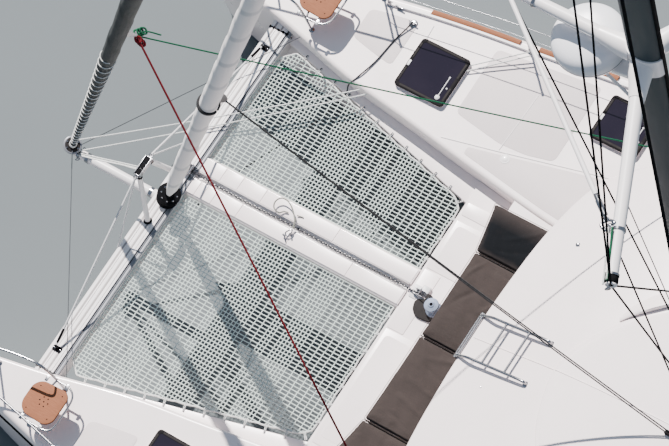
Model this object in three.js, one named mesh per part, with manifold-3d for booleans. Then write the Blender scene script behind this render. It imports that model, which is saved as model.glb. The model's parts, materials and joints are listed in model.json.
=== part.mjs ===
// A cruising catamaran under sail: two hulls, bridgedeck, saloon, foredeck nets and a three-strut mast.
// Millimetres. +X points to the bows, +Y to port, +Z up. The origin is on the centreline at the waterline.
import * as THREE from 'three';
import { mergeVertices } from 'three/addons/utils/BufferGeometryUtils.js';
import Module from 'manifold-3d';

const wasm = await Module();
wasm.setup();

// Driving dimensions
const GAP = 0.3;             // clearance between pieces that rest on each other
const BOW_X = 7250;
const STERN_X = -7250;
const DECK_Z = 1650;         // hull decks
const NET_Z = 1400;          // trampolines
const PLATFORM_Z = 1430;     // foredeck platform between the nets and the seat
const SEAT_Z = 1620;         // foredeck seat base
const FLOOR_Z = 1050;        // saloon and cockpit floor
const UNDER_Z = 850;         // underside of the bridgedeck
const KEEL_Z = -1350;        // deepest point
const BEAM_X = 5750;         // aft face of the crossbeam
const BEAM_WIDTH = 310;
const BEAM_TOP = 1470;
const BEAM_BOTTOM = 1250;
const LONGERON_Y = -418;     // the longeron lies to starboard of the centreline
const LONGERON_HALF = 250;
const PLATFORM_X = 2840;     // forward edge of the platform
const NET_AFT_X = 2900;
const LACE = 55;             // space between a net's edge and what it is laced to
const SPRIT_X = 7190;        // tip of the bowsprit
const SPRIT_Z = 1400;
const MAST_X = -1578;        // mast centre at net level
const RAKE = Math.tan(THREE.MathUtils.degToRad(3));
const ROOF_Z = 3060;         // roof at the mast foot
const MAST_TOP = 22900;
const STRUT_Z = 12450;
const STAY_TOP = 20500;
const GENNAKER_TOP = 22500;
const BULKHEAD_X = -2600;
const HARDTOP_Z = 3120;

// Hull stations: x, keel z, waterline centre y, waterline half width, deck inner y, deck outer y
const STATIONS = [
  { x: 7250, keel: -250, mid: 2745, half: 14, inner: 2720, outer: 2770 },
  { x: 7050, keel: -430, mid: 2745, half: 85, inner: 2655, outer: 2860 },
  { x: 6500, keel: -540, mid: 2755, half: 240, inner: 2550, outer: 2970 },
  { x: 5750, keel: -610, mid: 2780, half: 390, inner: 2405, outer: 3120 },
  { x: 4800, keel: -650, mid: 2810, half: 520, inner: 2180, outer: 3320 },
  { x: 3900, keel: -680, mid: 2850, half: 600, inner: 2045, outer: 3460 },
  { x: 2900, keel: -700, mid: 2890, half: 660, inner: 1890, outer: 3570 },
  { x: 1600, keel: -710, mid: 2930, half: 700, inner: 1720, outer: 3710 },
  { x: 0, keel: -700, mid: 2950, half: 730, inner: 1700, outer: 3850 },
  { x: -2000, keel: -670, mid: 2950, half: 740, inner: 1700, outer: 3930 },
  { x: -4000, keel: -600, mid: 2950, half: 730, inner: 1700, outer: 3950 },
  { x: -5500, keel: -480, mid: 2950, half: 700, inner: 1730, outer: 3920 },
  { x: -6500, keel: -350, mid: 2950, half: 650, inner: 1800, outer: 3870 },
  { x: -7250, keel: -180, mid: 2950, half: 580, inner: 1900, outer: 3800 },
];

const paint = (color, roughness, metalness = 0) =>
  new THREE.MeshStandardMaterial({ color, roughness, metalness });
const GELCOAT = paint('#f4f1ec', 0.35);
const WHITE_ALLOY = paint('#eceae6', 0.4, 0.2);
const STEEL = paint('#c9ccd0', 0.2, 1);
const BLACK = paint('#17181a', 0.5);
const GLASS = paint('#14181c', 0.08);
const TEAK = paint('#b5764a', 0.7);
const NET = paint('#e9efe9', 0.8);
const CLOTH = paint('#5f5550', 0.9);
const SAIL = paint('#e4e4e2', 0.7);
const DARK_SAIL = paint('#26302d', 0.7);
const CAST_IRON = paint('#8f9698', 0.5, 0.6);
const BRONZE = paint('#a8804a', 0.35, 0.9);
const LAMINATE = paint('#c9bfae', 0.6);

const model = new THREE.Group();

// A closed geometry becomes a solid that can be cut and joined
function solid(geometry) {
  geometry.deleteAttribute('normal');
  geometry.deleteAttribute('uv');
  const merged = mergeVertices(geometry, 1e-3);
  const vertProperties = merged.attributes.position.array;
  const triVerts = Uint32Array.from(merged.index.array);
  return new wasm.Manifold(new wasm.Mesh({ numProp: 3, vertProperties, triVerts }));
}

function join(...solids) {
  return solids.reduce((whole, next) => whole.add(next));
}

function cut(whole, ...tools) {
  return tools.reduce((rest, tool) => rest.subtract(tool), whole);
}

// What of a shape lies above a level
function above(shape, z) {
  return shape.subtract(box(-9000, 9000, -5000, 5000, z - 900, z));
}

function piece(name, shape, material) {
  const { vertProperties, triVerts } = shape.getMesh();
  const geometry = new THREE.BufferGeometry();
  geometry.setAttribute('position', new THREE.BufferAttribute(vertProperties, 3));
  geometry.setIndex(new THREE.BufferAttribute(triVerts, 1));
  geometry.computeVertexNormals();
  const mesh = new THREE.Mesh(geometry, material);
  mesh.name = name;
  model.add(mesh);
}

function box(x0, x1, y0, y1, z0, z1) {
  const geometry = new THREE.BoxGeometry(x1 - x0, Math.abs(y1 - y0), z1 - z0);
  return solid(geometry.translate((x0 + x1) / 2, (y0 + y1) / 2, (z0 + z1) / 2));
}

const extrude = (points, depth) => new THREE.ExtrudeGeometry(
  new THREE.Shape(points.map(([a, b]) => new THREE.Vector2(a, b))),
  { depth, bevelEnabled: false },
);

// Outline in X and Y, drawn up from z0 to z1
function plate(points, z0, z1) {
  return solid(extrude(points, z1 - z0).translate(0, 0, z0));
}

// Outline in X and Z, drawn across from y0 to y1
function profile(points, y0, y1) {
  return solid(extrude(points, y1 - y0).rotateX(Math.PI / 2).translate(0, y1, 0));
}

// Outline in Y and Z, drawn along from x0 to x1
function bulkhead(points, x0, x1) {
  const turn = new THREE.Matrix4().makeBasis(
    new THREE.Vector3(0, 1, 0), new THREE.Vector3(0, 0, 1), new THREE.Vector3(1, 0, 0),
  );
  return solid(extrude(points, x1 - x0).applyMatrix4(turn).translate(x0, 0, 0));
}

// Straight bar of a regular section between two points
function rod(from, to, radius, sides = 8, endRadius = radius) {
  const a = new THREE.Vector3(...from);
  const b = new THREE.Vector3(...to);
  const geometry = new THREE.CylinderGeometry(endRadius, radius, a.distanceTo(b), sides);
  const along = b.clone().sub(a).normalize();
  const turn = new THREE.Quaternion().setFromUnitVectors(new THREE.Vector3(0, 1, 0), along);
  geometry.applyQuaternion(turn);
  const middle = a.add(b).multiplyScalar(0.5);
  return solid(geometry.translate(middle.x, middle.y, middle.z));
}

// Turned form on the line between two points; each row is a distance from the first and a radius
function turned(from, to, rows, sides = 16) {
  const a = new THREE.Vector3(...from);
  const along = new THREE.Vector3(...to).sub(a).normalize();
  const closed = [[rows[0][0], 0], ...rows, [rows.at(-1)[0], 0]];
  const outline = closed.map(([d, r]) => new THREE.Vector2(r, d));
  const turn = new THREE.Quaternion().setFromUnitVectors(new THREE.Vector3(0, 1, 0), along);
  return solid(new THREE.LatheGeometry(outline, sides).applyQuaternion(turn).translate(a.x, a.y, a.z));
}

// Bent bar along a smooth curve through points
function tube(points, radius, sides = 8, steps = 6) {
  const curve = new THREE.CatmullRomCurve3(
    points.map((p) => new THREE.Vector3(...p)), false, 'centripetal',
  );
  const ring = new THREE.Shape();
  for (let i = 0; i < sides; i += 1) {
    const turn = (i / sides) * 2 * Math.PI;
    const corner = [radius * Math.cos(turn), radius * Math.sin(turn)];
    if (i === 0) ring.moveTo(...corner);
    else ring.lineTo(...corner);
  }
  const options = { steps: steps * (points.length - 1), extrudePath: curve, bevelEnabled: false };
  return solid(new THREE.ExtrudeGeometry(ring, options));
}

// Skin over like sections, closed at both ends by a fan about the section's middle
function loft(sections) {
  const count = sections[0].length;
  const points = sections.flat();
  const faces = [];
  for (let s = 0; s + 1 < sections.length; s += 1) {
    for (let i = 0; i < count; i += 1) {
      const a = s * count + i;
      const b = s * count + ((i + 1) % count);
      faces.push(a, b, b + count, a, b + count, a + count);
    }
  }
  for (const [first, flip] of [[0, true], [(sections.length - 1) * count, false]]) {
    const middle = [0, 1, 2].map((k) => {
      const ring = points.slice(first, first + count);
      return ring.reduce((sum, p) => sum + p[k], 0) / count;
    });
    const hub = points.push(middle) - 1;
    for (let i = 0; i < count; i += 1) {
      const a = first + i;
      const b = first + ((i + 1) % count);
      faces.push(...(flip ? [b, a, hub] : [a, b, hub]));
    }
  }
  const at = (i) => new THREE.Vector3(...points[i]);
  let volume = 0;
  for (let i = 0; i < faces.length; i += 3) {
    volume += at(faces[i]).dot(at(faces[i + 1]).cross(at(faces[i + 2])));
  }
  if (volume < 0) faces.reverse();
  const geometry = new THREE.BufferGeometry();
  geometry.setAttribute('position', new THREE.Float32BufferAttribute(points.flat(), 3));
  geometry.setIndex(faces);
  return solid(geometry);
}

// Hull form between the stations: a smooth curve through each column of the table
function station(x) {
  const last = STATIONS.length - 1;
  let i = STATIONS.findIndex((row, n) => n < last && x <= row.x && x >= STATIONS[n + 1].x);
  if (i < 0) i = x > BOW_X ? 0 : last - 1;
  const rows = [-1, 0, 1, 2].map((k) => STATIONS[Math.min(Math.max(i + k, 0), last)]);
  const t = (x - rows[1].x) / (rows[2].x - rows[1].x);
  const result = { x };
  for (const key of ['keel', 'mid', 'half', 'inner', 'outer']) {
    const span = rows[2].x - rows[1].x;
    const m1 = ((rows[2][key] - rows[0][key]) / (rows[2].x - rows[0].x)) * span;
    const m2 = ((rows[3][key] - rows[1][key]) / (rows[3].x - rows[1].x)) * span;
    const rise = 3 * t ** 2 - 2 * t ** 3;
    const leave = t ** 3 - 2 * t ** 2 + t;
    const arrive = t ** 3 - t ** 2;
    result[key] = (1 - rise) * rows[1][key] + rise * rows[2][key] + leave * m1 + arrive * m2;
  }
  return result;
}

// Section of one hull, from the keel line round the outboard side, over the deck and down inboard
function hullSection(x, side) {
  const { keel, mid, half, inner, outer } = station(x);
  const round = Math.min(70, (outer - inner) / 5);
  const chineOut = mid + half + (outer - mid - half) * 0.6;
  const chineIn = mid - half + (inner - mid + half) * 0.45;
  const outline = [
    [mid, keel], [mid + 0.62 * half, keel * 0.82], [mid + 0.92 * half, keel * 0.4], [mid + half, 0],
    [chineOut, 640], [outer, DECK_Z - 2 * round], [outer - 0.3 * round, DECK_Z - 0.5 * round],
    [outer - round, DECK_Z], [inner + 0.6 * round, DECK_Z], [inner, DECK_Z - 0.6 * round],
    [inner, UNDER_Z + 60], [chineIn, 560], [mid - half, 0], [mid - 0.92 * half, keel * 0.4],
    [mid - 0.62 * half, keel * 0.82],
  ];
  return outline.map(([y, z]) => [x, side * y, z]);
}

// Net edges, port net first; the outboard edge runs beside the hull
const NETS = [
  { name: 'port', inner: LONGERON_Y + LONGERON_HALF + LACE, side: 1 },
  { name: 'starboard', inner: LONGERON_Y - LONGERON_HALF - LACE, side: -1 },
];
const NET_FORE_X = BEAM_X - LACE;
const NET_OUT_FORE = 2290;
const NET_OUT_AFT = 1590;
const NET_CORNER = 110;

// Shelf along the hull's inner side that the net is laced to
function ledge(side) {
  const away = LACE;
  const points = [
    [BEAM_X - GAP, NET_OUT_FORE + away + 14], [PLATFORM_X + GAP, NET_OUT_AFT + away - 14],
    [PLATFORM_X + GAP, 2000], [3900, 2150], [4800, 2280], [BEAM_X - GAP, 2480],
  ];
  return plate(points.map(([x, y]) => [x, side * y]), NET_Z - 75, NET_Z + 5);
}

// Hatches on the hull decks: forward edge, length, inboard edge, width
const HATCHES = [
  { name: 'fore', x: 4270, length: 660, y: 2350, width: 640, opening: 60 },
  { name: 'mid', x: 1990, length: 620, y: 2830, width: 560, opening: 60 },
];
const HATCH_COAMING = 22;
const HATCH_DEPTH = 500;
const ENGINE_BAY = { x0: -5200, x1: -4200, y0: 2480, y1: 3420, z0: 40 };
const LID_HEIGHT = 45;

function hull(side) {
  const xs = [];
  for (let i = 0; i + 1 < STATIONS.length; i += 1) {
    xs.push(STATIONS[i].x, (STATIONS[i].x + STATIONS[i + 1].x) / 2);
  }
  xs.push(STERN_X);
  let body = loft(xs.map((x) => hullSection(x, side))).add(ledge(side));
  const across = (y0, y1) => [Math.min(side * y0, side * y1), Math.max(side * y0, side * y1)];
  for (const hatch of HATCHES) {
    const yb = across(hatch.y, hatch.y + hatch.width);
    const yo = across(hatch.y + hatch.opening, hatch.y + hatch.width - hatch.opening);
    const x0 = hatch.x - hatch.length;
    body = body.add(box(x0, hatch.x, ...yb, DECK_Z - 20, DECK_Z + HATCH_COAMING));
    const hole = [x0 + hatch.opening, hatch.x - hatch.opening];
    body = body.subtract(box(...hole, ...yo, DECK_Z - HATCH_DEPTH, DECK_Z + 100));
  }
  const bay = ENGINE_BAY;
  body = body.subtract(box(bay.x0, bay.x1, ...across(bay.y0, bay.y1), bay.z0, DECK_Z + 100));
  for (const [x, z] of [[-5750, 1330], [-6080, 1020], [-6420, 710], [-6780, 400]]) {
    body = body.subtract(box(STERN_X - 50, x, ...across(2150, 3690), z, DECK_Z + 100));
  }
  const post = rod([-6150, side * 2950, -250], [-6150, side * 2950, -470], 80, 12);
  return body.add(post);
}

const hulls = [1, -1].map(hull);
const sideName = (side) => (side > 0 ? 'port' : 'starboard');
// The hulls moved a hair inboard or down, to cut neighbours with a clearance
const shifted = (shape, dx, dy, dz) => shape.translate([dx, dy, dz]);
const hullCut = [1, -1].map((side, n) => hulls[n].add(shifted(hulls[n], 0, -side * GAP, 0)));

// Stub keels: z, forward x, aft x, half thickness
const KEEL_SECTIONS = [
  { z: -500, fore: 1900, aft: -1500, half: 170 },
  { z: -900, fore: 1780, aft: -1430, half: 165 },
  { z: KEEL_Z + 90, fore: 1560, aft: -1300, half: 150 },
  { z: KEEL_Z, fore: 1400, aft: -1200, half: 90 },
];
// Leaf section of a foil: part of the chord from its nose, part of the half thickness
const FOIL = [[0, 0], [0.06, 0.6], [0.25, 1], [0.6, 0.85], [1, 0.08]];
function foil({ z, fore, aft, half }, y) {
  const chord = fore - aft;
  const edge = FOIL.map(([t, w]) => [fore - t * chord, y + w * half, z]);
  const back = FOIL.slice(1).reverse().map(([t, w]) => [fore - t * chord, y - w * half, z]);
  return [...edge, ...back];
}
[1, -1].forEach((side, n) => {
  const keel = loft(KEEL_SECTIONS.map((row) => foil(row, side * 2945)));
  piece(`hull_${sideName(side)}`, join(hulls[n], keel), GELCOAT);
});

// Bridgedeck between the hulls, with the foredeck platform and the seat base
const deckProfile = [
  [PLATFORM_X, 1180], [PLATFORM_X, PLATFORM_Z], [2310, PLATFORM_Z], [2300, SEAT_Z], [1180, SEAT_Z],
  [1180, FLOOR_Z], [-6150, FLOOR_Z], [-6150, UNDER_Z], [1700, UNDER_Z], [2500, 960],
];
piece('bridgedeck', cut(profile(deckProfile, -2100, 2100), ...hullCut), GELCOAT);

// Crossbeam between the bows, a rounded box section
const beamSection = [];
for (const [cx, cz, from] of [[1, 1, 0], [-1, 1, 90], [-1, -1, 180], [1, -1, 270]]) {
  const radius = 70;
  for (let step = 0; step <= 3; step += 1) {
    const turn = THREE.MathUtils.degToRad(from + step * 30);
    const x = BEAM_X + BEAM_WIDTH / 2 + cx * (BEAM_WIDTH / 2 - radius) + radius * Math.cos(turn);
    const z = (BEAM_TOP + BEAM_BOTTOM) / 2 + cz * ((BEAM_TOP - BEAM_BOTTOM) / 2 - radius);
    beamSection.push([x, z + radius * Math.sin(turn)]);
  }
}
piece('crossbeam', cut(profile(beamSection, -2700, 2700), ...hullCut), WHITE_ALLOY);

// Longeron with its chain channel
const CHANNEL_HALF = 45;
const longeronX = [PLATFORM_X + GAP, BEAM_X - GAP];
const longeronOutline = [
  [LONGERON_Y - LONGERON_HALF, 1310], [LONGERON_Y + LONGERON_HALF, 1310],
  [LONGERON_Y + LONGERON_HALF, 1425], [LONGERON_Y + LONGERON_HALF - 25, 1450],
  [LONGERON_Y + CHANNEL_HALF, 1450], [LONGERON_Y + CHANNEL_HALF, 1405],
  [LONGERON_Y - CHANNEL_HALF, 1405], [LONGERON_Y - CHANNEL_HALF, 1450],
  [LONGERON_Y - LONGERON_HALF + 25, 1450], [LONGERON_Y - LONGERON_HALF, 1425],
];
piece('longeron', bulkhead(longeronOutline, ...longeronX), GELCOAT);

// Anchor chain, one bar in the channel and over the platform to the windlass
const WINDLASS = { x: 2430, y: -315, radius: 98, top: 1500 };
const chainRun = box(2560, 5600, LONGERON_Y - 14, LONGERON_Y + 14, 1452, 1474);
const chainDrop = box(2920, 5600, LONGERON_Y - 14, LONGERON_Y + 14, 1405 + GAP, 1453);
piece('anchor_chain', join(chainRun, chainDrop), STEEL);

// Anchor on its roller under the crossbeam
const anchorPlate = plate([[6140, 0], [5700, 210], [5560, 0], [5700, -210]], 1035, 1065)
  .translate([0, LONGERON_Y, 0]);
const anchorShank = profile([[5600, 1050], [5640, 1180], [6080, 1180], [6080, 1140], [5720, 1060]],
  LONGERON_Y - 15, LONGERON_Y + 15);
const rollerCheeks = box(5790, 6020, LONGERON_Y - 60, LONGERON_Y + 60, 1160, BEAM_BOTTOM - GAP);
piece('anchor', join(anchorPlate, anchorShank, rollerCheeks), STEEL);

// Windlass: a fixed base and a turning drum
const windlassFoot = [WINDLASS.x, WINDLASS.y, PLATFORM_Z + GAP];
const windlassBase = rod(windlassFoot, [WINDLASS.x, WINDLASS.y, WINDLASS.top], WINDLASS.radius, 20);
piece('windlass_base', windlassBase, BLACK);
const drumProfile = [
  [0, 0], [88, 0], [88, 22], [52, 50], [52, 95], [84, 125], [84, 150], [30, 165], [0, 165],
];
const drum = new THREE.LatheGeometry(drumProfile.map(([r, z]) => new THREE.Vector2(r, z)), 20)
  .rotateX(Math.PI / 2)
  .translate(WINDLASS.x, WINDLASS.y, WINDLASS.top + GAP);
piece('windlass_drum', solid(drum), STEEL);

// Nets, each a thin soft sheet with lacing tabs to what carries it
for (const { name, inner, side } of NETS) {
  const out = (x) => side * (NET_OUT_AFT + ((NET_OUT_FORE - NET_OUT_AFT) * (x - 3010)) / (NET_FORE_X - 3010));
  const corners = [
    [NET_AFT_X, inner], [NET_AFT_X, out(3010) - side * NET_CORNER],
    [3010, out(3010)], [NET_FORE_X, out(NET_FORE_X)], [NET_FORE_X, inner],
  ];
  const tabs = [];
  const edges = [
    { from: corners[0], to: corners[1], reach: NET_AFT_X - PLATFORM_X },
    { from: corners[2], to: corners[3], reach: LACE },
    { from: corners[3], to: corners[4], reach: LACE },
    { from: corners[4], to: corners[0], reach: LACE },
  ];
  for (const { from, to, reach } of edges) {
    const a = new THREE.Vector2(...from);
    const b = new THREE.Vector2(...to);
    const along = b.clone().sub(a).normalize();
    const outward = new THREE.Vector2(along.y, -along.x).multiplyScalar(-side);
    const count = Math.round(a.distanceTo(b) / 250);
    for (let i = 0; i < count; i += 1) {
      const foot = a.clone().lerp(b, (i + 0.5) / count);
      const point = (s, t) => foot.clone().addScaledVector(along, s).addScaledVector(outward, t).toArray();
      tabs.push(plate([point(-6, -8), point(6, -8), point(6, reach - 1), point(-6, reach - 1)],
        NET_Z - 5, NET_Z + 5));
    }
  }
  const sheet = plate(corners, NET_Z - 6, NET_Z + 6);
  const carriers = side > 0 ? hullCut[0] : hullCut[1];
  piece(`trampoline_${name}`, cut(join(sheet, ...tabs), carriers), NET);
}

// Bowsprit with its end fitting
const spritStart = [BEAM_X + BEAM_WIDTH + GAP, 0, SPRIT_Z];
const sprit = rod(spritStart, [SPRIT_X + 30, 0, SPRIT_Z], 55, 16);
piece('bowsprit', sprit, WHITE_ALLOY);

// Striker over the crossbeam: two legs, top plate, and stays to the beam's ends and the bowsprit
const STRIKER = { x: 5905, foot: 330, top: 2250, stayY: 2106 };
const strikerParts = [box(5860, 5990, -150, 150, STRIKER.top, STRIKER.top + 22)];
for (const side of [1, -1]) {
  const foot = [STRIKER.x, side * STRIKER.foot, BEAM_TOP + GAP];
  strikerParts.push(rod(foot, [5930, side * 110, STRIKER.top + 10], 30, 12));
  strikerParts.push(rod(foot, [STRIKER.x, side * STRIKER.foot, BEAM_TOP + 45], 75, 16));
  const end = [5945, side * STRIKER.stayY, BEAM_TOP + 30];
  strikerParts.push(rod([5930, side * 130, STRIKER.top + 8], end, 9, 6));
  strikerParts.push(rod([5945, side * STRIKER.stayY, BEAM_TOP + GAP], [end[0], end[1], end[2] + 20], 40, 12));
}
strikerParts.push(rod([5960, 0, STRIKER.top + 8], [SPRIT_X - 170, 0, SPRIT_Z + 70], 12, 8));
strikerParts.push(box(SPRIT_X - 210, SPRIT_X - 140, -20, 20, SPRIT_Z + 55 + GAP, SPRIT_Z + 85));
const strikerLug = strikerParts.pop();
const strikerBody = above(join(...strikerParts.slice(0, -1)), BEAM_TOP + GAP);
piece('striker', join(strikerBody, strikerParts.at(-1), strikerLug), STEEL);

const mastAt = (z) => MAST_X - RAKE * (z - NET_Z);

// Mast of oval section, raked aft, with the boom's lugs
function ovalSection(z, length, width, x = mastAt(z)) {
  return Array.from({ length: 20 }, (_, i) => {
    const turn = (i / 20) * 2 * Math.PI;
    return [x + (length / 2) * Math.cos(turn), (width / 2) * Math.sin(turn), z];
  });
}
const MAST_LENGTH = 300;
const MAST_WIDTH = 190;
const MAST_STEP = { top: ROOF_Z + 35, radius: 210 };
const mastFoot = MAST_STEP.top + GAP;
const mastLoft = (grow) => loft([
  ovalSection(mastFoot, MAST_LENGTH + grow, MAST_WIDTH + grow),
  ovalSection(18000, MAST_LENGTH + grow, MAST_WIDTH + grow),
  ovalSection(MAST_TOP, MAST_LENGTH - 80 + grow, MAST_WIDTH - 40 + grow),
]);
const mastClear = mastLoft(2 * GAP);
const BOOM = { x: -2010, z: 4350, end: -7150, pin: 100 };
const mastLugs = [-1, 1].map((up) => {
  const z = BOOM.z + up * (BOOM.pin + 10);
  return box(BOOM.x - 40, -1800, -35, 35, z - 10, z + 10);
});
piece('mast', join(mastLoft(0), ...mastLugs), WHITE_ALLOY);

// A furled sail on its stay: drum on its fitting, roll of cloth, bare stay to the mast
const DRUM_HEIGHT = 230;
function furled({ name, foot, top, base, drum: r, roll, bare, material }) {
  const length = new THREE.Vector3(...foot).distanceTo(new THREE.Vector3(...top));
  const spool = turned(foot, top, [
    [0, 22], [20, 22], [20, r], [45, r], [55, r * 0.8], [175, r * 0.8], [180, r], [200, r], [200, 30],
    [DRUM_HEIGHT, 30],
  ]);
  const fitting = box(foot[0] - 60, foot[0] + 60, -45, 45, base, base + 22);
  piece(`${name}_drum`, above(join(spool, fitting), base), BLACK);
  const [tack, clew, belly, head] = roll;
  const cloth = turned(foot, top, [
    [DRUM_HEIGHT + GAP, tack], [length * 0.05, clew], [length * 0.35, belly], [length * bare, head],
    [length * bare + 5, 9], [length, 9],
  ], 12);
  piece(`${name}_furled`, cut(cloth, mastClear), material);
}
furled({
  name: 'genoa',
  foot: [5860, 0, BEAM_TOP + 10],
  top: [mastAt(STAY_TOP) + 100, 0, STAY_TOP],
  base: BEAM_TOP + GAP,
  drum: 110,
  roll: [60, 82, 100, 45],
  bare: 0.93,
  material: SAIL,
});
furled({
  name: 'gennaker',
  foot: [SPRIT_X - 20, 0, SPRIT_Z + 57],
  top: [mastAt(GENNAKER_TOP) + 60, 0, GENNAKER_TOP],
  base: SPRIT_Z + 55 + GAP,
  drum: 62,
  roll: [35, 62, 95, 45],
  bare: 0.92,
  material: DARK_SAIL,
});

// Pulpits with their teak seats
for (const side of [1, -1]) {
  const y = (v) => side * v;
  const base = DECK_Z + GAP;
  const top = DECK_Z + 620;
  const rail = tube([
    [4950, y(3190), top], [5500, y(3080), top], [6350, y(2920), top], [6750, y(2770), top],
    [6350, y(2620), top], [5900, y(2530), top], [5560, y(2500), top - 60], [5500, y(2495), top - 300],
    [5480, y(2490), base],
  ], 14, 8, 3);
  const legs = [[4950, 3190, 3190], [5650, 3060, 3060], [6350, 2930, 2905], [6330, 2615, 2640]].map(
    ([x, yTop, yFoot]) => rod([x, y(yTop), top + 4], [x, y(yFoot), base], 12.5, 8));
  const seatBar = rod([5650, y(3060), 1925], [5650, y(2500), 1925], 12, 8);
  const inner = rod([5650, y(2505), top - 30], [5650, y(2505), 1900], 12, 8);
  const bar = rod([5250, y(3120), 1925], [5250, y(2560), 1925], 12, 8);
  const post = rod([5250, y(2560), 1925], [5250, y(2560), base], 12, 8);
  const outerPost = rod([5250, y(3120), 1925], [5250, y(3120), base], 12, 8);
  const slats = [2620, 2950].map((v) => rod([5650, y(v), 1925], [5250, y(v), 1925], 12, 8));
  const frame = join(rail, ...legs, ...slats, seatBar, inner, bar, post, outerPost);
  piece(`pulpit_${sideName(side)}`, above(frame, base), STEEL);
  const seat = plate([
    [5610, 2600], [5680, 2680], [5680, 2900], [5600, 2990],
    [5300, 3000], [5240, 2930], [5240, 2620], [5300, 2560],
  ].map(([px, py]) => [px, y(py)]), 1925 + 12 + GAP, 1965);
  piece(`bow_seat_${sideName(side)}`, seat, TEAK);
}

// Toe rail, stanchions and lifelines along each side, all in one
for (const side of [1, -1]) {
  const xs = [4850, 3100, 1100, -1000, -3100, -5300];
  const edge = (x) => side * (station(x).outer - 130);
  const parts = [];
  xs.forEach((x, n) => {
    parts.push(rod([x, edge(x), DECK_Z + GAP], [x, edge(x), DECK_Z + 640], 13, 8));
    if (n === 0) return;
    const before = xs[n - 1];
    parts.push(rod([before, edge(before), DECK_Z + 625], [x, edge(x), DECK_Z + 625], 5, 6));
  });
  const outside = xs.map((x) => [x, edge(x) + 16]);
  const inside = xs.map((x) => [x, edge(x) - 16]).reverse();
  parts.push(plate([...outside, ...inside], DECK_Z + GAP, DECK_Z + 32));
  piece(`lifelines_${sideName(side)}`, join(...parts), STEEL);
}

// Hatch lids on the hull decks; each turns about its forward edge
for (const side of [1, -1]) {
  for (const { name, x, length, y, width } of HATCHES) {
    const z = DECK_Z + HATCH_COAMING + GAP;
    const inset = 12;
    const yy = [side * (y + inset), side * (y + width - inset)].sort((a, b) => a - b);
    piece(`hatch_${name}_${sideName(side)}`, box(x - length + inset, x - inset, ...yy, z, z + 26), GLASS);
  }
  const bay = ENGINE_BAY;
  const yy = [side * (bay.y0 - 40), side * (bay.y1 + 40)].sort((a, b) => a - b);
  const lid = box(bay.x0 - 40, bay.x1 + 40, ...yy, DECK_Z + GAP, DECK_Z + LID_HEIGHT);
  piece(`engine_lid_${sideName(side)}`, lid, GELCOAT);
  const engine = join(
    box(-5050, -4350, side * 2950 - 270, side * 2950 + 270, bay.z0 + GAP, 700),
    box(-4950, -4500, side * 2950 - 180, side * 2950 + 180, 690, 800),
  );
  piece(`engine_${sideName(side)}`, engine, CAST_IRON);
}

// Saildrive legs and propellers
[1, -1].forEach((side, n) => {
  const y = side * 2950;
  const leg = loft([
    foil({ z: -450, fore: -4480, aft: -4800, half: 55 }, y),
    foil({ z: -950, fore: -4520, aft: -4780, half: 42 }, y),
  ]);
  const pod = rod([-4420, y, -960], [-4860, y, -960], 45, 16, 66);
  const below = shifted(hulls[n], 0, 0, -GAP);
  const fin = profile([[-4560, -960], [-4740, -960], [-4720, -1130], [-4620, -1110]], y - 8, y + 8);
  piece(`saildrive_${sideName(side)}`, cut(join(leg, pod, fin), hulls[n], below), CAST_IRON);
  const parts = [rod([-4860.4, y, -960], [-5010, y, -960], 60, 12, 30)];
  for (let blade = 0; blade < 3; blade += 1) {
    const turn = (blade * 2 * Math.PI) / 3;
    const geometry = new THREE.BoxGeometry(12, 90, 190).rotateZ(0.5).translate(0, 0, 130);
    parts.push(solid(geometry.rotateX(turn).translate(-4930, y, -960)));
  }
  piece(`propeller_${sideName(side)}`, join(...parts), BRONZE);
});

// Rudders under their posts
for (const side of [1, -1]) {
  const y = side * 2950;
  const blade = loft([
    foil({ z: -520, fore: -6010, aft: -6490, half: 34 }, y),
    foil({ z: -1180, fore: -6050, aft: -6390, half: 22 }, y),
  ]);
  const stock = rod([-6150, y, -470 - GAP], [-6150, y, -560], 30, 12);
  piece(`rudder_${sideName(side)}`, join(blade, stock), GELCOAT);
}

// Foredeck cushions, in a row across the seat
const CUSHION_EDGES = [-1650, -1065, 50, 1160, 1650];
const frontAt = (y) => 2330 + Math.max(0, Math.abs(y) - 1100) * 0.2;
['starboard_outer', 'starboard_inner', 'port_inner', 'port_outer'].forEach((name, n) => {
  const [a, b] = [CUSHION_EDGES[n] + 4, CUSHION_EDGES[n + 1] - 4];
  const outline = [[1640, a], [frontAt(a), a], [frontAt(b), b], [1640, b]];
  piece(`cushion_${name}`, plate(outline, SEAT_Z + GAP, SEAT_Z + 125), CLOTH);
});

// Saloon shell: wall outline of the port half, from the middle of the front to the bulkhead
const WALL_HALF = [
  [1420, 0], [1410, 900], [1330, 1600], [1120, 2120], [760, 2400], [200, 2560], [BULKHEAD_X, 2640],
];
const WALL_THICK = 60;
const mirrored = (half) => half.slice().reverse().filter(([, y]) => y > 0).map(([x, y]) => [x, -y]);
const bothSides = (half) => [...half, ...mirrored(half)];
const wallOuter = bothSides(WALL_HALF);
const wallInner = bothSides(WALL_HALF.map(([x, y], n, all) => {
  const last = n === all.length - 1;
  const inward = n === 0 ? 0 : WALL_THICK * Math.min(1, y / 2500);
  return [last ? x - 10 : x - WALL_THICK * (n < 4 ? 1 : 0.6), y - inward];
}));

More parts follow.
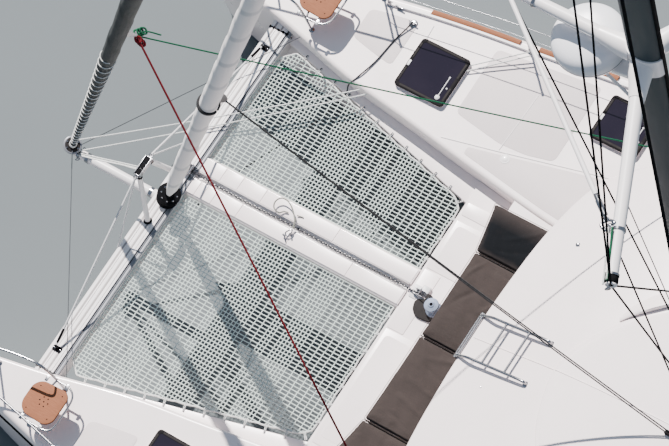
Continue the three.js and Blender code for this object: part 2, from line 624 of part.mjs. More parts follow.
// Roof top height along the centreline: x, z
const ROOF_LINE = [
  [1620, 2395], [1100, 2560], [500, 2760], [-200, 2930], [-900, 3030], [-1700, ROOF_Z], [-2700, ROOF_Z],
];
const ROOF_THICK = 70;
const CROWN = 0.028;
function roofHeight(x, y) {
  const i = Math.max(0, ROOF_LINE.findIndex(([px]) => x >= px) - 1);
  const [[x0, z0], [x1, z1]] = [ROOF_LINE[i], ROOF_LINE[i + 1]];
  const z = z0 + ((z1 - z0) * (x - x0)) / (x1 - x0);
  return z - CROWN * (y / 1000) ** 2 * 1000;
}
function roofSkin(depth) {
  const ys = [-3000, -2250, -1500, -750, 0, 750, 1500, 2250, 3000];
  return loft(ROOF_LINE.map(([x]) => [
    ...ys.map((y) => [x, y, roofHeight(x, y)]),
    ...ys.slice().reverse().map((y) => [x, y, roofHeight(x, y) - depth]),
  ]));
}
// Roof outline in plan, port half
const ROOF_HALF = [
  [1570, 0], [1560, 600], [1510, 1400], [1390, 2000], [1250, 2290], [1040, 2490], [740, 2680], [200, 2800],
  [-1200, 2880], [BULKHEAD_X, 2900],
];
const mastStep = rod(
  [mastAt(ROOF_Z), 0, ROOF_Z - 40], [mastAt(ROOF_Z), 0, MAST_STEP.top], MAST_STEP.radius, 20,
);
// Raised panel on the roof: outline in plan and height above the skin
const ROOF_PANEL = [
  [600, -300], [580, 0], [450, 350], [260, 700], [-100, 1100], [-600, 1350], [-2550, 1350], [-2550, -1500],
  [-100, -1500], [100, -1370], [380, -930], [570, -540],
];
const PANEL_HEIGHT = 14;
const panel = plate(ROOF_PANEL, 1900, 3400)
  .intersect(shifted(roofSkin(ROOF_THICK), 0, 0, PANEL_HEIGHT));
// Two winches on the roof beside the helm
const WINCHES = { x: -2350, ys: [-1720, -2020], radius: 72, height: 150 };
const winches = WINCHES.ys.map((y) => {
  const z = roofHeight(WINCHES.x, y);
  return rod([WINCHES.x, y, z - 20], [WINCHES.x, y, z + WINCHES.height], WINCHES.radius, 16);
});
const roofPlate = plate(bothSides(ROOF_HALF), 1900, 3400).intersect(roofSkin(ROOF_THICK));
const roof = join(roofPlate, panel, mastStep, ...winches);
const underRoof = roofSkin(1800).translate([0, 0, -ROOF_THICK - GAP]);
const ring = plate(wallOuter, 1600, 3300).subtract(plate(wallInner, 1500, 3400));
const WINDOW_Z = [1930, 2230];
const windows = [];
for (const [y0, y1] of [[-1150, -60], [60, 1150]]) windows.push(box(1200, 1500, y0, y1, ...WINDOW_Z));
for (const side of [1, -1]) {
  const across = (y0, y1) => [side * y0, side * y1].sort((a, b) => a - b);
  windows.push(box(1000, 1500, ...across(1270, 1900), ...WINDOW_Z));
  for (const [x0, x1, z1] of [[-150, 700, 2420], [-1250, -270, 2540], [-2400, -1370, 2540]]) {
    windows.push(box(x0, x1, ...across(2300, 2800), WINDOW_Z[0], z1));
  }
}
const doorY = [-500, 900];
const doorTop = 2950;
const WELL_HALF = 1697;        // half the width between the hulls, less a clearance
const backWall = [
  [-2640, DECK_Z], [-WELL_HALF, DECK_Z], [-WELL_HALF, FLOOR_Z],
  [WELL_HALF, FLOOR_Z], [WELL_HALF, DECK_Z], [2640, DECK_Z],
];
const backOutline = [...backWall, [2640, 3200], [-2640, 3200]];
let back = bulkhead(backOutline, BULKHEAD_X, BULKHEAD_X + WALL_THICK);
back = back.subtract(box(BULKHEAD_X - 50, BULKHEAD_X + 100, ...doorY, FLOOR_Z + 60, doorTop));
let walls = cut(ring.add(back).intersect(underRoof), ...windows);
// The walls stand on the seat base and the hull decks, and the bulkhead on the floor between the hulls
const seatCut = box(-2500, 1700, -2900, 2900, 900, SEAT_Z + GAP);
const deckCuts = [1, -1].map((side) => {
  const yy = [side * WELL_HALF, side * 2950].sort((a, b) => a - b);
  return box(-2700, 1700, ...yy, 900, DECK_Z + GAP);
});
const floorCut = box(-2700, BULKHEAD_X + 200, -1800, 1800, 900, FLOOR_Z + GAP);
const doorRail = box(BULKHEAD_X - 60, BULKHEAD_X, -1960, 960, doorTop + 20 + GAP, doorTop + 45);
const railClear = cut(doorRail, shifted(roof, -GAP, 0, 0));
walls = join(cut(walls, seatCut, ...deckCuts, floorCut), railClear);
piece('saloon_walls', walls, GELCOAT);
piece('coachroof', roof, GELCOAT);

// Wrap-around saloon glass, bonded outside the wall
const glassRing = (offset) => bothSides(WALL_HALF.map(([x, y], n, all) => {
  if (n === 0) return [x + offset, 0];
  if (n === all.length - 1) return [x, y + offset];
  const lean = Math.min(1, Math.max(0, (x + 200) / 1600));
  return [x + offset * lean * 1.2, y + offset * (1.15 - lean * 0.75)];
}));
const glassSide = [[1700, 1890], [1700, 2290], [1100, 2290], [300, 2520], [-2440, 2620], [-2440, 1890]];
const glassBand = plate(glassRing(14), 1800, 2700)
  .subtract(plate(glassRing(0.4), 1700, 2800))
  .intersect(profile(glassSide, -3000, 3000));
piece('saloon_glass', cut(glassBand, walls, roof), GLASS);

// Sliding saloon door with its own frame, aft of the bulkhead
const doorSpan = [doorY[0] - 30, doorY[1] + 30];
const doorBody = box(BULKHEAD_X - 50, BULKHEAD_X - 12, ...doorSpan, FLOOR_Z + 20, doorTop + 20);
const paneSpan = [doorY[0] + 60, doorY[1] - 60];
const doorPane = box(BULKHEAD_X - 60, BULKHEAD_X, ...paneSpan, FLOOR_Z + 200, doorTop - 80);
piece('saloon_door', doorBody.subtract(doorPane), WHITE_ALLOY);

// Saloon furniture seen through the glass
const furniture = join(
  box(-2400, 1100, -1650, 1650, FLOOR_Z + GAP, FLOOR_Z + 20),
  box(-2300, -400, 1150, 1650, FLOOR_Z + 10, 1950),
  box(-1500, 700, -1650, -1100, FLOOR_Z + 10, 1480),
  box(300, 900, -1400, 300, FLOOR_Z + 10, 1480),
  box(-900, 0, -900, -200, FLOOR_Z + 10, 1100),
  box(-500, -400, -600, -500, FLOOR_Z + 10, 1700),
  box(-1000, 100, -950, -150, 1700, 1740),
);
piece('saloon_furniture', furniture, LAMINATE);

// Cockpit hardtop on four posts, aft of the coachroof
const hardtopOutline = bothSides([
  [BULKHEAD_X - GAP, 0], [BULKHEAD_X - GAP, 2900], [-5600, 2850], [-5950, 2600], [-6050, 0],
]);
let hardtop = plate(hardtopOutline, HARDTOP_Z - 90, HARDTOP_Z);
for (const side of [1, -1]) {
  hardtop = hardtop.add(rod([-5500, side * 2000, DECK_Z - 20], [-5600, side * 2450, HARDTOP_Z - 50], 45, 12));
  hardtop = hardtop.add(rod([-3900, side * 2300, DECK_Z - 20], [-3900, side * 2600, HARDTOP_Z - 50], 35, 12));
}
piece('hardtop', above(hardtop, DECK_Z + GAP), GELCOAT);

// Cockpit seats, table, helm console and wheel
const seats = join(
  box(-6140, -5640, -1500, 1500, FLOOR_Z + GAP, 1480),
  box(-5700, -3500, 1000, 1650, FLOOR_Z + GAP, 1480),
  box(-6140, -6000, -1500, 1650, 1470, 1800),
  box(-6140, -5640, 1000, 1650, FLOOR_Z + GAP, 1480),
);
piece('cockpit_seats', seats, GELCOAT);
const table = join(
  box(-5200, -4100, -300, 700, 1740, 1775),
  box(-4700, -4600, 150, 250, FLOOR_Z + GAP, 1750),
  box(-4850, -4450, 0, 400, FLOOR_Z + GAP, 1075),
);
piece('cockpit_table', table, TEAK);
const HELM = { x: -3050, y: -2150, z: 2150, radius: 330 };
const consoleSide = [
  [-2670, DECK_Z + GAP], [-2670, 2450], [-2800, 2450], [-2950, 2300], [-2950, DECK_Z + GAP],
];
piece('helm_console', profile(consoleSide, HELM.y - 330, HELM.y + 330), GELCOAT);
const wheelRing = new THREE.TorusGeometry(HELM.radius, 15, 6, 24)
  .rotateY(Math.PI / 2)
  .translate(HELM.x, HELM.y, HELM.z);
const wheelHub = rod([HELM.x + 100 - GAP, HELM.y, HELM.z], [HELM.x - 30, HELM.y, HELM.z], 35, 12);
const wheelParts = [solid(wheelRing), wheelHub];
for (let spoke = 0; spoke < 5; spoke += 1) {
  const turn = (spoke * 2 * Math.PI) / 5;
  const tip = [HELM.x, HELM.y + HELM.radius * Math.sin(turn), HELM.z + HELM.radius * Math.cos(turn)];
  wheelParts.push(rod([HELM.x, HELM.y, HELM.z], tip, 9, 6));
}
piece('helm_wheel', join(...wheelParts), STEEL);

// Ladder over the coachroof's front edge
const ladderParts = [];
const roofAt = (x, y, lift) => [x, y, roofHeight(x, y) + lift];
for (const y of [-275, 235]) {
  ladderParts.push(tube([
    roofAt(660, y, GAP), roofAt(700, y, 55), roofAt(1000, y, 75), roofAt(1400, y, 80),
    [1590, y, 2400], [1600, y, 2330],
  ], 14, 8, 3));
  ladderParts.push(rod([1600, y, 2335], [1571, y, 2335], 12, 8));
  const foot = roofAt(660, y, 0);
  ladderParts.push(rod([foot[0], y, foot[2] + 5], [foot[0], y, foot[2] + 14], 34, 10));
}
for (const [x, z] of [[930, roofHeight(930, 0) + 68], [1230, roofHeight(1230, 0) + 76], [1592, 2395]]) {
  ladderParts.push(rod([x, -275, z], [x, 235, z], 13, 8));
}
const roofClear = [shifted(roof, 0, 0, GAP), shifted(roof, GAP, 0, 0)];
piece('ladder', cut(join(...ladderParts), roof, ...roofClear), STEEL);

// Two swept spreaders and the forward strut on a collar round the mast
const collar = loft([
  ovalSection(STRUT_Z - 130, MAST_LENGTH + 30, MAST_WIDTH + 30, mastAt(STRUT_Z)),
  ovalSection(STRUT_Z + 130, MAST_LENGTH + 30, MAST_WIDTH + 30, mastAt(STRUT_Z)),
]);
// Each strut's root y at the mast, tip x and y, and radii at root and tip
const STRUTS = [
  { root: 0, x: -880, y: 0, thick: 55, thin: 45 },
  { root: 60, x: -2920, y: 1740, thick: 62, thin: 46 },
  { root: -60, x: -2920, y: -1740, thick: 62, thin: 46 },
];
const STRUT_RISE = 40;
const struts = STRUTS.map(({ root, x, y, thick, thin }) => rod(
  [mastAt(STRUT_Z), root, STRUT_Z], [x, y, STRUT_Z + STRUT_RISE], thick, 12, thin,
));
piece('struts', cut(join(collar, ...struts), mastClear), WHITE_ALLOY);

// Radar dome on a bracket ahead of the mast
const DOME = { x: -1610, z: 12240, radius: 300, base: -135 };
const domeProfile = [
  [0, DOME.base], [215, DOME.base], [280, -105], [DOME.radius, -45], [DOME.radius, 30], [264, 92],
  [190, 124], [0, 135],
].map(([r, z]) => new THREE.Vector2(r, z));
const dome = new THREE.LatheGeometry(domeProfile, 24).rotateX(Math.PI / 2);
const bracketTop = DOME.z + DOME.base + 5;
const bracket = box(mastAt(DOME.z) + 60, DOME.x + 150, -70, 70, bracketTop - 35, bracketTop);
piece('radar_dome', cut(solid(dome.translate(DOME.x, 0, DOME.z)).add(bracket), mastClear), GELCOAT);

// Boom with its stack of sail, hinged at the gooseneck
const BOOM_OUTLINE = [[-70, -110], [70, -110], [95, 0], [70, 110], [-70, 110], [-95, 0]];
const boomSection = (x) => BOOM_OUTLINE.map(([y, z]) => [x, y, BOOM.z + z]);
const pinReach = BOOM.pin - GAP;
const gooseneck = rod([BOOM.x, 0, BOOM.z - pinReach], [BOOM.x, 0, BOOM.z + pinReach], 30, 12);
const jaw = box(BOOM.x - 130, BOOM.x, -20, 20, BOOM.z - 60, BOOM.z + 60);
piece('boom', join(loft([boomSection(BOOM.x - 120), boomSection(BOOM.end)]), gooseneck, jaw), WHITE_ALLOY);
const stack = [[-2300, 430], [-3200, 400], [-5200, 300], [-7000, 210]].map(([x, h]) => [
  [-150, 0], [150, 0], [190, 0.35], [160, 0.75], [0, 1], [-160, 0.75], [-190, 0.35],
].map(([y, t]) => [x, y, BOOM.z + 110 + GAP + t * h]));
piece('sail_stack', loft(stack), CLOTH);

// Shrouds from the hull decks to the mast
const CHAINPLATE = { x: -4650, y: 3740 };
for (const side of [1, -1]) {
  const { x, y } = CHAINPLATE;
  const wire = rod([x, side * y, DECK_Z + 30], [mastAt(STAY_TOP), side * 60, STAY_TOP], 9, 6);
  const lug = box(x - 60, x + 60, side * y - 10, side * y + 10, DECK_Z + GAP, DECK_Z + 90);
  piece(`shroud_${sideName(side)}`, cut(wire.add(lug), mastClear), STEEL);
}

export default model;
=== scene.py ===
# Looks of a cruising catamaran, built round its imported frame: hull skins, nets, deck gear,
# cushions, furled sails and rigging. Metres, +X to the bows, +Y to port, +Z up, waterline at 0.
import json
import math

import bmesh
import bpy
import numpy as np
from mathutils import Matrix, Vector, noise


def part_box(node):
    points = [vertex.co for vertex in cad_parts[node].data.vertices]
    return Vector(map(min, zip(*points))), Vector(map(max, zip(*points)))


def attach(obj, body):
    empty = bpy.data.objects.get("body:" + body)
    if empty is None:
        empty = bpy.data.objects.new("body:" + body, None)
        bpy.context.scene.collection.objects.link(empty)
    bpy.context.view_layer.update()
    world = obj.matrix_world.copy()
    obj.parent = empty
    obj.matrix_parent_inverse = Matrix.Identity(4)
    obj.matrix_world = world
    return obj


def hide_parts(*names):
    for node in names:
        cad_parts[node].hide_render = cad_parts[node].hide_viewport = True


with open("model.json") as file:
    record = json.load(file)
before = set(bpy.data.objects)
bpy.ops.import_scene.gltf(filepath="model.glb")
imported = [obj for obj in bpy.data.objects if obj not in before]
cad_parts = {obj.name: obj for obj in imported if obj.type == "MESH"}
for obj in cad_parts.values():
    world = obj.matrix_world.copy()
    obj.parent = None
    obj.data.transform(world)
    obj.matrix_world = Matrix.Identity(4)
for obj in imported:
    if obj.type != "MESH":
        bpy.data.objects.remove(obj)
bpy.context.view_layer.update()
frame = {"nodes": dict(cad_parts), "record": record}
# The nets' sway is drawn from this seed, so that every run gives the same nets
NET_SEED = 1
noise.seed_set(NET_SEED)

# Camera: where it stands, and which way the picture's right and down run
CAMERA_AT = (-11.0318, 8.6319, 35.9609)
PICTURE_RIGHT = (-0.814322, -0.541544, -0.208829)
PICTURE_DOWN = (-0.431864, 0.805712, -0.405365)
CAMERA_LENS = 188.34
# Floor, sky and the sun, which stands high over the starboard bow
FLOOR_HALF = 90
SKY_COLOR = (0.60, 0.76, 1.0, 1)
SKY_STRENGTH = 0.52
SUN_COLOR = (1.0, 0.955, 0.93)
SUN_STRENGTH = 12.5
SUN_WIDTH = math.radians(0.7)
SUN_WAY = (-0.48, 0.465, -0.745)

# Levels and lengths that the frame shares
DECK_Z = 1.65
NET_Z = 1.40
FLOOR_Z = 1.05
UNDER_Z = 0.85
BEAM_X = 5.75
SPRIT_Z = 1.40
LONGERON_Y = -0.418
LONGERON_HALF = 0.25
CHANNEL_HALF = 0.045
PLATFORM_X = 2.84
STERN_X = -7.25
HARDTOP_Z = 3.12
STRUT_Z = 12.45
STAY_TOP = 20.5
MAST_FOOT = 3.0953
TAPER_Z = 18
MAST_TOP = 22.9
BOOM_Z = 4.35
GOOSENECK_X = -2.01
RAKE = math.tan(math.radians(3))
SIDES = {"port": 1, "starboard": -1}

# Hull stations: x, keel z, waterline centre y, waterline half width, deck inner y, deck outer y
STATIONS = np.array([
    (7.25, -0.250, 2.745, 0.014, 2.720, 2.770),
    (7.05, -0.430, 2.745, 0.085, 2.655, 2.860),
    (6.50, -0.540, 2.755, 0.240, 2.550, 2.970),
    (5.75, -0.610, 2.780, 0.390, 2.405, 3.120),
    (4.80, -0.650, 2.810, 0.520, 2.180, 3.320),
    (3.90, -0.680, 2.850, 0.600, 2.045, 3.460),
    (2.90, -0.700, 2.890, 0.660, 1.890, 3.570),
    (1.60, -0.710, 2.930, 0.700, 1.720, 3.710),
    (0.00, -0.700, 2.950, 0.730, 1.700, 3.850),
    (-2.00, -0.670, 2.950, 0.740, 1.700, 3.930),
    (-4.00, -0.600, 2.950, 0.730, 1.700, 3.950),
    (-5.50, -0.480, 2.950, 0.700, 1.730, 3.920),
    (-6.50, -0.350, 2.950, 0.650, 1.800, 3.870),
    (-7.25, -0.180, 2.950, 0.580, 1.900, 3.800),
])
STERN_STEPS = [(-5.75, 1.33), (-6.08, 1.02), (-6.42, 0.71), (-6.78, 0.40)]
# Hatches on the hull decks: forward edge, length, inboard edge, width
HATCHES = {"fore": (4.27, 0.66, 2.35, 0.64), "mid": (1.99, 0.62, 2.83, 0.56)}
HATCH_COAMING = 0.022
COAMING_WIDTH = 0.06
HATCH_LOW, HATCH_HIGH = 1.6723, 1.7083
ENGINE_BAY = (-5.2, -4.2, 2.48, 3.42)
# Windows in the hull sides: aft end, forward end, bottom, top
HULL_WINDOWS = [
    (-1.9, 0.3, 0.98, 1.22), (0.55, 2.1, 1.0, 1.22), (3.0, 4.1, 1.06, 1.22), (-4.4, -2.7, 1.0, 1.2),
]


def mast_at(z):
    return -1.578 - RAKE * (z - NET_Z)


# Camera, floor and light

def make_camera():
    camera = bpy.data.objects.new("camera", bpy.data.cameras.new("camera"))
    bpy.context.scene.collection.objects.link(camera)
    right = Vector(PICTURE_RIGHT).normalized()
    up = -Vector(PICTURE_DOWN).normalized()
    back = right.cross(up).normalized()
    turn = Matrix((right, back.cross(right), back)).transposed()
    camera.matrix_world = Matrix.Translation(CAMERA_AT) @ turn.to_4x4()
    camera.data.lens = CAMERA_LENS
    camera.data.clip_start = 0.5
    camera.data.clip_end = 400
    bpy.context.scene.camera = camera


def make_stage():
    mesh = bpy.data.meshes.new("floor")
    corners = [(u * FLOOR_HALF, v * FLOOR_HALF, 0) for u, v in ((-1, -1), (1, -1), (1, 1), (-1, 1))]
    mesh.from_pydata(corners, [], [(0, 1, 2, 3)])
    floor = bpy.data.objects.new("floor", mesh)
    bpy.context.scene.collection.objects.link(floor)
    floor.data.materials.append(FLOOR_PAINT())
    world = bpy.data.worlds.new("studio")
    bpy.context.scene.world = world
    world.use_nodes = True
    back = world.node_tree.nodes["Background"]
    back.inputs["Color"].default_value = SKY_COLOR
    back.inputs["Strength"].default_value = SKY_STRENGTH
    key = bpy.data.lights.new("key", "SUN")
    key.energy = SUN_STRENGTH
    key.angle = SUN_WIDTH
    key.color = SUN_COLOR
    lamp = bpy.data.objects.new("key", key)
    bpy.context.scene.collection.objects.link(lamp)
    lamp.rotation_mode = "QUATERNION"
    lamp.rotation_quaternion = Vector(SUN_WAY).to_track_quat("-Z", "Y")


# Materials

MADE = {}
GLASS_IOR = 1.49
ROPE_LAY = math.radians(38)
ROPE_STRANDS = 160
THREADS = 420
# Heights on the boat at which the boot stripe ends and the dark bottom paint begins
STRIPE_TOP = 0.115
STRIPE_FOOT = 0.04


class Paint:
    """A principled material with helpers for its noise, colour mix and bump nodes."""

    def __init__(self, name, color, roughness=0.5, metallic=0.0, coat=0.0, sheen=0.0, shine=0.5, others=()):
        self.material = bpy.data.materials.new(name)
        self.material.use_nodes = True
        self.tree = self.material.node_tree
        self.shader = self.tree.nodes["Principled BSDF"]
        self.set("Base Color", (*color, 1))
        self.set("Roughness", roughness)
        self.set("Metallic", metallic)
        self.set("Coat Weight", coat)
        self.set("Sheen Weight", sheen)
        self.set("Specular IOR Level", shine)
        for socket, value in others:
            self.set(socket, value)
        self.color = (*color, 1)
        self.last_bump = None

    def set(self, socket, value):
        self.shader.inputs[socket].default_value = value

    def node(self, kind, **values):
        made = self.tree.nodes.new(kind)
        for key, value in values.items():
            if hasattr(made, key):
                setattr(made, key, value)
            else:
                made.inputs[key.replace("_", " ")].default_value = value
        return made

    def link(self, a, b):
        self.tree.links.new(a, b)

    def place(self, scale=(1, 1, 1), turn=(0, 0, 0), uv=False):
        coordinates = self.node("ShaderNodeTexCoord")
        mapping = self.node("ShaderNodeMapping")
        mapping.inputs["Scale"].default_value = scale
        mapping.inputs["Rotation"].default_value = turn
        self.link(coordinates.outputs["UV" if uv else "Object"], mapping.inputs["Vector"])
        return mapping.outputs["Vector"]

    def noise(self, scale, detail, stretch=(1, 1, 1), uv=False):
        made = self.node("ShaderNodeTexNoise", Scale=scale, Detail=detail, Roughness=0.55)
        self.link(self.place(stretch, uv=uv), made.inputs["Vector"])
        return made.outputs["Fac"]

    def wave(self, scale, distortion=0.0, turn=(0, 0, 0), uv=False, direction="X"):
        made = self.node("ShaderNodeTexWave", Scale=scale, Distortion=distortion, Detail=1.5)
        made.bands_direction = direction
        self.link(self.place(turn=turn, uv=uv), made.inputs["Vector"])
        return made.outputs["Fac"]

    def cells(self, scale):
        made = self.node("ShaderNodeTexVoronoi", Scale=scale)
        self.link(self.place(), made.inputs["Vector"])
        return made.outputs["Distance"]

    def ramp(self, source, low, high):
        made = self.node("ShaderNodeMapRange")
        made.inputs["From Min"].default_value = low
        made.inputs["From Max"].default_value = high
        self.link(source, made.inputs["Value"])
        return made.outputs["Result"]

    def tint(self, factor, color):
        """Mixes another colour over what the base colour is so far."""
        mix = self.node("ShaderNodeMix", data_type="RGBA")
        self.link(factor, mix.inputs["Factor"])
        current = self.shader.inputs["Base Color"]
        if current.is_linked:
            self.link(current.links[0].from_socket, mix.inputs[6])
        else:
            mix.inputs[6].default_value = self.color
        mix.inputs[7].default_value = (*color, 1)
        self.link(mix.outputs[2], current)
        return self

    def rough(self, factor, low, high):
        made = self.node("ShaderNodeMapRange")
        made.inputs["To Min"].default_value = low
        made.inputs["To Max"].default_value = high
        self.link(factor, made.inputs["Value"])
        self.link(made.outputs["Result"], self.shader.inputs["Roughness"])
        return self

    def bump(self, height, strength, distance):
        made = self.node("ShaderNodeBump", Strength=strength, Distance=distance)
        self.link(height, made.inputs["Height"])
        if self.last_bump:
            self.link(self.last_bump, made.inputs["Normal"])
        self.last_bump = made.outputs["Normal"]
        self.link(self.last_bump, self.shader.inputs["Normal"])
        return self

    def spots(self, pattern, low, high, color):
        """Another colour where the noise passes from low to high."""
        return self.tint(self.ramp(self.noise(*pattern), low, high), color)

    def gloss(self, pattern, low, high):
        """Roughness that wanders between two values."""
        return self.rough(self.noise(*pattern), low, high)

    def grain(self, pattern, strength, distance):
        return self.bump(self.noise(*pattern), strength, distance)

    def axes(self):
        """The piece's own coordinates as separate outputs."""
        coordinates = self.node("ShaderNodeTexCoord")
        split = self.node("ShaderNodeSeparateXYZ")
        self.link(coordinates.outputs["Object"], split.inputs["Vector"])
        return split.outputs

    def height_band(self, low, high):
        """1 between two heights of the piece, 0 elsewhere, with crisp edges."""
        height = self.axes()["Z"]
        over = self.node("ShaderNodeMath", operation="GREATER_THAN")
        under = self.node("ShaderNodeMath", operation="LESS_THAN")
        both = self.node("ShaderNodeMath", operation="MULTIPLY")
        self.link(height, over.inputs[0])
        over.inputs[1].default_value = low
        self.link(height, under.inputs[0])
        under.inputs[1].default_value = high
        self.link(over.outputs[0], both.inputs[0])
        self.link(under.outputs[0], both.inputs[1])
        return both.outputs[0]


def once(name, build):
    """A function that gives the named material, and makes it at its first call."""
    def get():
        if name not in MADE:
            MADE[name] = build(name).material
        return MADE[name]
    return get


def darker(color, share):
    return [channel * share for channel in color]


def plain(name, color, roughness, spots, gloss=None, grain=None, **values):
    """One tone with spots of another, uneven gloss and a fine grain. Each of the three starts with
    its noise: scale, detail and sometimes a stretch."""
    def build(name):
        paint = Paint(name, color, roughness, **values).spots(*spots)
        if gloss:
            paint.gloss(*gloss)
        if grain:
            paint.grain(*grain)
        return paint
    return once(name, build)


def gelcoat(name, roughness, coat, coat_roughness):
    """Moulded gelcoat with broad, faint clouds of a second white."""
    others = [("Coat Roughness", coat_roughness)]
    paint = Paint(name, (0.88, 0.785, 0.768), roughness, coat=coat, others=others)
    return paint.spots((0.9, 5), 0.45, 0.75, (0.855, 0.755, 0.735))


def scuffed_gelcoat(name):
    paint = gelcoat(name, 0.28, 0.35, 0.12).spots((6, 6), 0.66, 0.80, (0.77, 0.71, 0.69))
    return paint.gloss((3.2, 5), 0.2, 0.42).grain((38, 2), 0.12, 0.002)


def streaked_gelcoat(name):
    """The hulls' gelcoat: upright streaks, a boot stripe and dark paint below it."""
    paint = gelcoat(name, 0.25, 0.4, 0.1)
    paint.spots((5, 4, (1.6, 1.6, 0.12)), 0.62, 0.9, (0.74, 0.68, 0.65))
    paint.tint(paint.height_band(STRIPE_FOOT, STRIPE_TOP), (0.022, 0.04, 0.075))
    paint.tint(paint.height_band(-9, STRIPE_FOOT), (0.018, 0.028, 0.045))
    return paint.gloss((3.2, 5), 0.2, 0.42).grain((38, 2), 0.12, 0.002)


def grip(name, color):
    """Moulded grip pattern, a little uneven in tone."""
    def build(name):
        paint = Paint(name, color, 0.6, shine=0.3)
        paint.spots((1.4, 5), 0.4, 0.75, darker(color, 0.975))
        paint.spots((14, 5), 0.62, 0.8, darker(color, 0.925))
        paint.gloss((5, 4), 0.5, 0.75)
        paint.bump(paint.cells(260), 0.5, 0.0012)
        return paint.grain((90, 2), 0.2, 0.001)
    return once(name, build)


def wood(name, turn, plank):
    """Teak in planks with dark caulking; turn sets which way the planks run."""
    def build(name):
        paint = Paint(name, (0.215, 0.078, 0.036), 0.7, shine=0.15)
        veins = paint.node("ShaderNodeTexNoise", Scale=9.0, Detail=6.0)
        paint.link(paint.place((1.2, 14, 6), turn), veins.inputs["Vector"])
        paint.tint(paint.ramp(veins.outputs["Fac"], 0.35, 0.7), (0.27, 0.108, 0.055))
        fine = paint.node("ShaderNodeTexNoise", Scale=60.0, Detail=4.0)
        paint.link(paint.place((0.8, 12, 6), turn), fine.inputs["Vector"])
        paint.tint(paint.ramp(fine.outputs["Fac"], 0.55, 0.8), (0.145, 0.05, 0.023))
        if plank:
            seam = paint.node("ShaderNodeTexWave", Scale=0.5 / plank, Distortion=0.0)
            seam.bands_direction = "Y"
            paint.link(paint.place(turn=turn), seam.inputs["Vector"])
            paint.tint(paint.ramp(seam.outputs["Fac"], 0.985, 0.995), (0.03, 0.025, 0.022))
        paint.rough(veins.outputs["Fac"], 0.6, 0.85)
        return paint.bump(fine.outputs["Fac"], 0.25, 0.0008)
    return once(name, build)


def rope(name, color, fleck):
    """Braided cord: two crossed spirals over the tube's own coordinates."""
    def build(name):
        paint = Paint(name, color, 0.8, sheen=0.08, shine=0.15)
        left = paint.wave(ROPE_STRANDS, turn=(0, 0, ROPE_LAY), uv=True)
        right = paint.wave(ROPE_STRANDS, turn=(0, 0, -ROPE_LAY), uv=True)
        paint.tint(paint.ramp(left, 0.55, 0.95), fleck)
        paint.spots((30, 4), 0.5, 0.8, darker(color, 0.7))
        return paint.bump(left, 0.5, 0.0015).bump(right, 0.5, 0.0015)
    return once(name, build)


def cloth(name, color, other):
    """Woven cloth: crossed threads, a soft sheen, uneven dye and soft creases."""
    def build(name):
        paint = Paint(name, color, 0.9, sheen=0.05, shine=0.1)
        warp = paint.wave(THREADS, 0.3)
        weft = paint.wave(THREADS, 0.3, direction="Y")
        paint.tint(paint.ramp(warp, 0.5, 1.0), other)
        paint.spots((2.2, 5), 0.42, 0.8, darker(color, 0.82))
        paint.spots((55, 4), 0.55, 0.85, [min(1, channel) for channel in darker(color, 1.2)])
        paint.bump(warp, 0.35, 0.0008).bump(weft, 0.35, 0.0008)
        return paint.grain((4.5, 4, (1.0, 2.6, 1)), 0.35, 0.02)
    return once(name, build)


def painted_shade_cloth(name):
    """The outer starboard cushion, with painted shade: near black on its crown, brown towards its rim."""
    paint = Paint(name, (0.034, 0.027, 0.025), 0.9, sheen=0.05, shine=0.1)
    warp = paint.wave(THREADS, 0.3)
    axes = paint.axes()
    # Painted shade: the crown turns near black, most towards its inboard side
    crown = paint.node("ShaderNodeMath", operation="MULTIPLY")
    paint.link(paint.ramp(axes["Z"], 1.706, 1.727), crown.inputs[0])
    paint.link(paint.ramp(axes["Y"], -1.64, -1.42), crown.inputs[1])
    paint.tint(crown.outputs[0], (0.0034, 0.0042, 0.0056))
    paint.spots((5, 5), 0.6, 0.85, (0.010, 0.009, 0.0095))
    return paint.bump(warp, 0.35, 0.0008).grain((4.5, 4, (1.0, 2.6, 1)), 0.35, 0.02)


def white_sail(name):
    """Cloth layers wound at a slant, with their edges in shade."""
    paint = Paint(name, (0.80, 0.765, 0.74), 0.6, sheen=0.2)
    layers = paint.wave(0.55, 0.6, turn=(0, 0, math.radians(52)), uv=True)
    paint.tint(paint.ramp(layers, 0.9, 0.99), (0.50, 0.50, 0.50))
    paint.spots((3, 5, (0.2, 2, 1), True), 0.5, 0.8, (0.70, 0.675, 0.655))
    return paint.bump(layers, 0.5, 0.01).grain((25, 4, (0.3, 1.5, 1), True), 0.4, 0.006)


def dark_sail(name):
    paint = Paint(name, (0.009, 0.014, 0.014), 0.62, sheen=0.03, shine=0.2)
    # Lighter stretched patches over the dark cloth: painted reflections
    paint.spots((1.6, 3, (0.35, 3.2, 1), True), 0.63, 0.67, (0.050, 0.060, 0.060))
    paint.spots((9, 5, (0.25, 2, 1), True), 0.55, 0.8, (0.022, 0.030, 0.030))
    return paint.grain((16, 5, (0.3, 2, 1), True), 0.7, 0.012)


def floor_paint(name):
    paint = Paint(name, (0.125, 0.142, 0.148), 0.85, shine=0.1)
    return paint.tint(paint.noise(0.35, 4), (0.138, 0.156, 0.162))


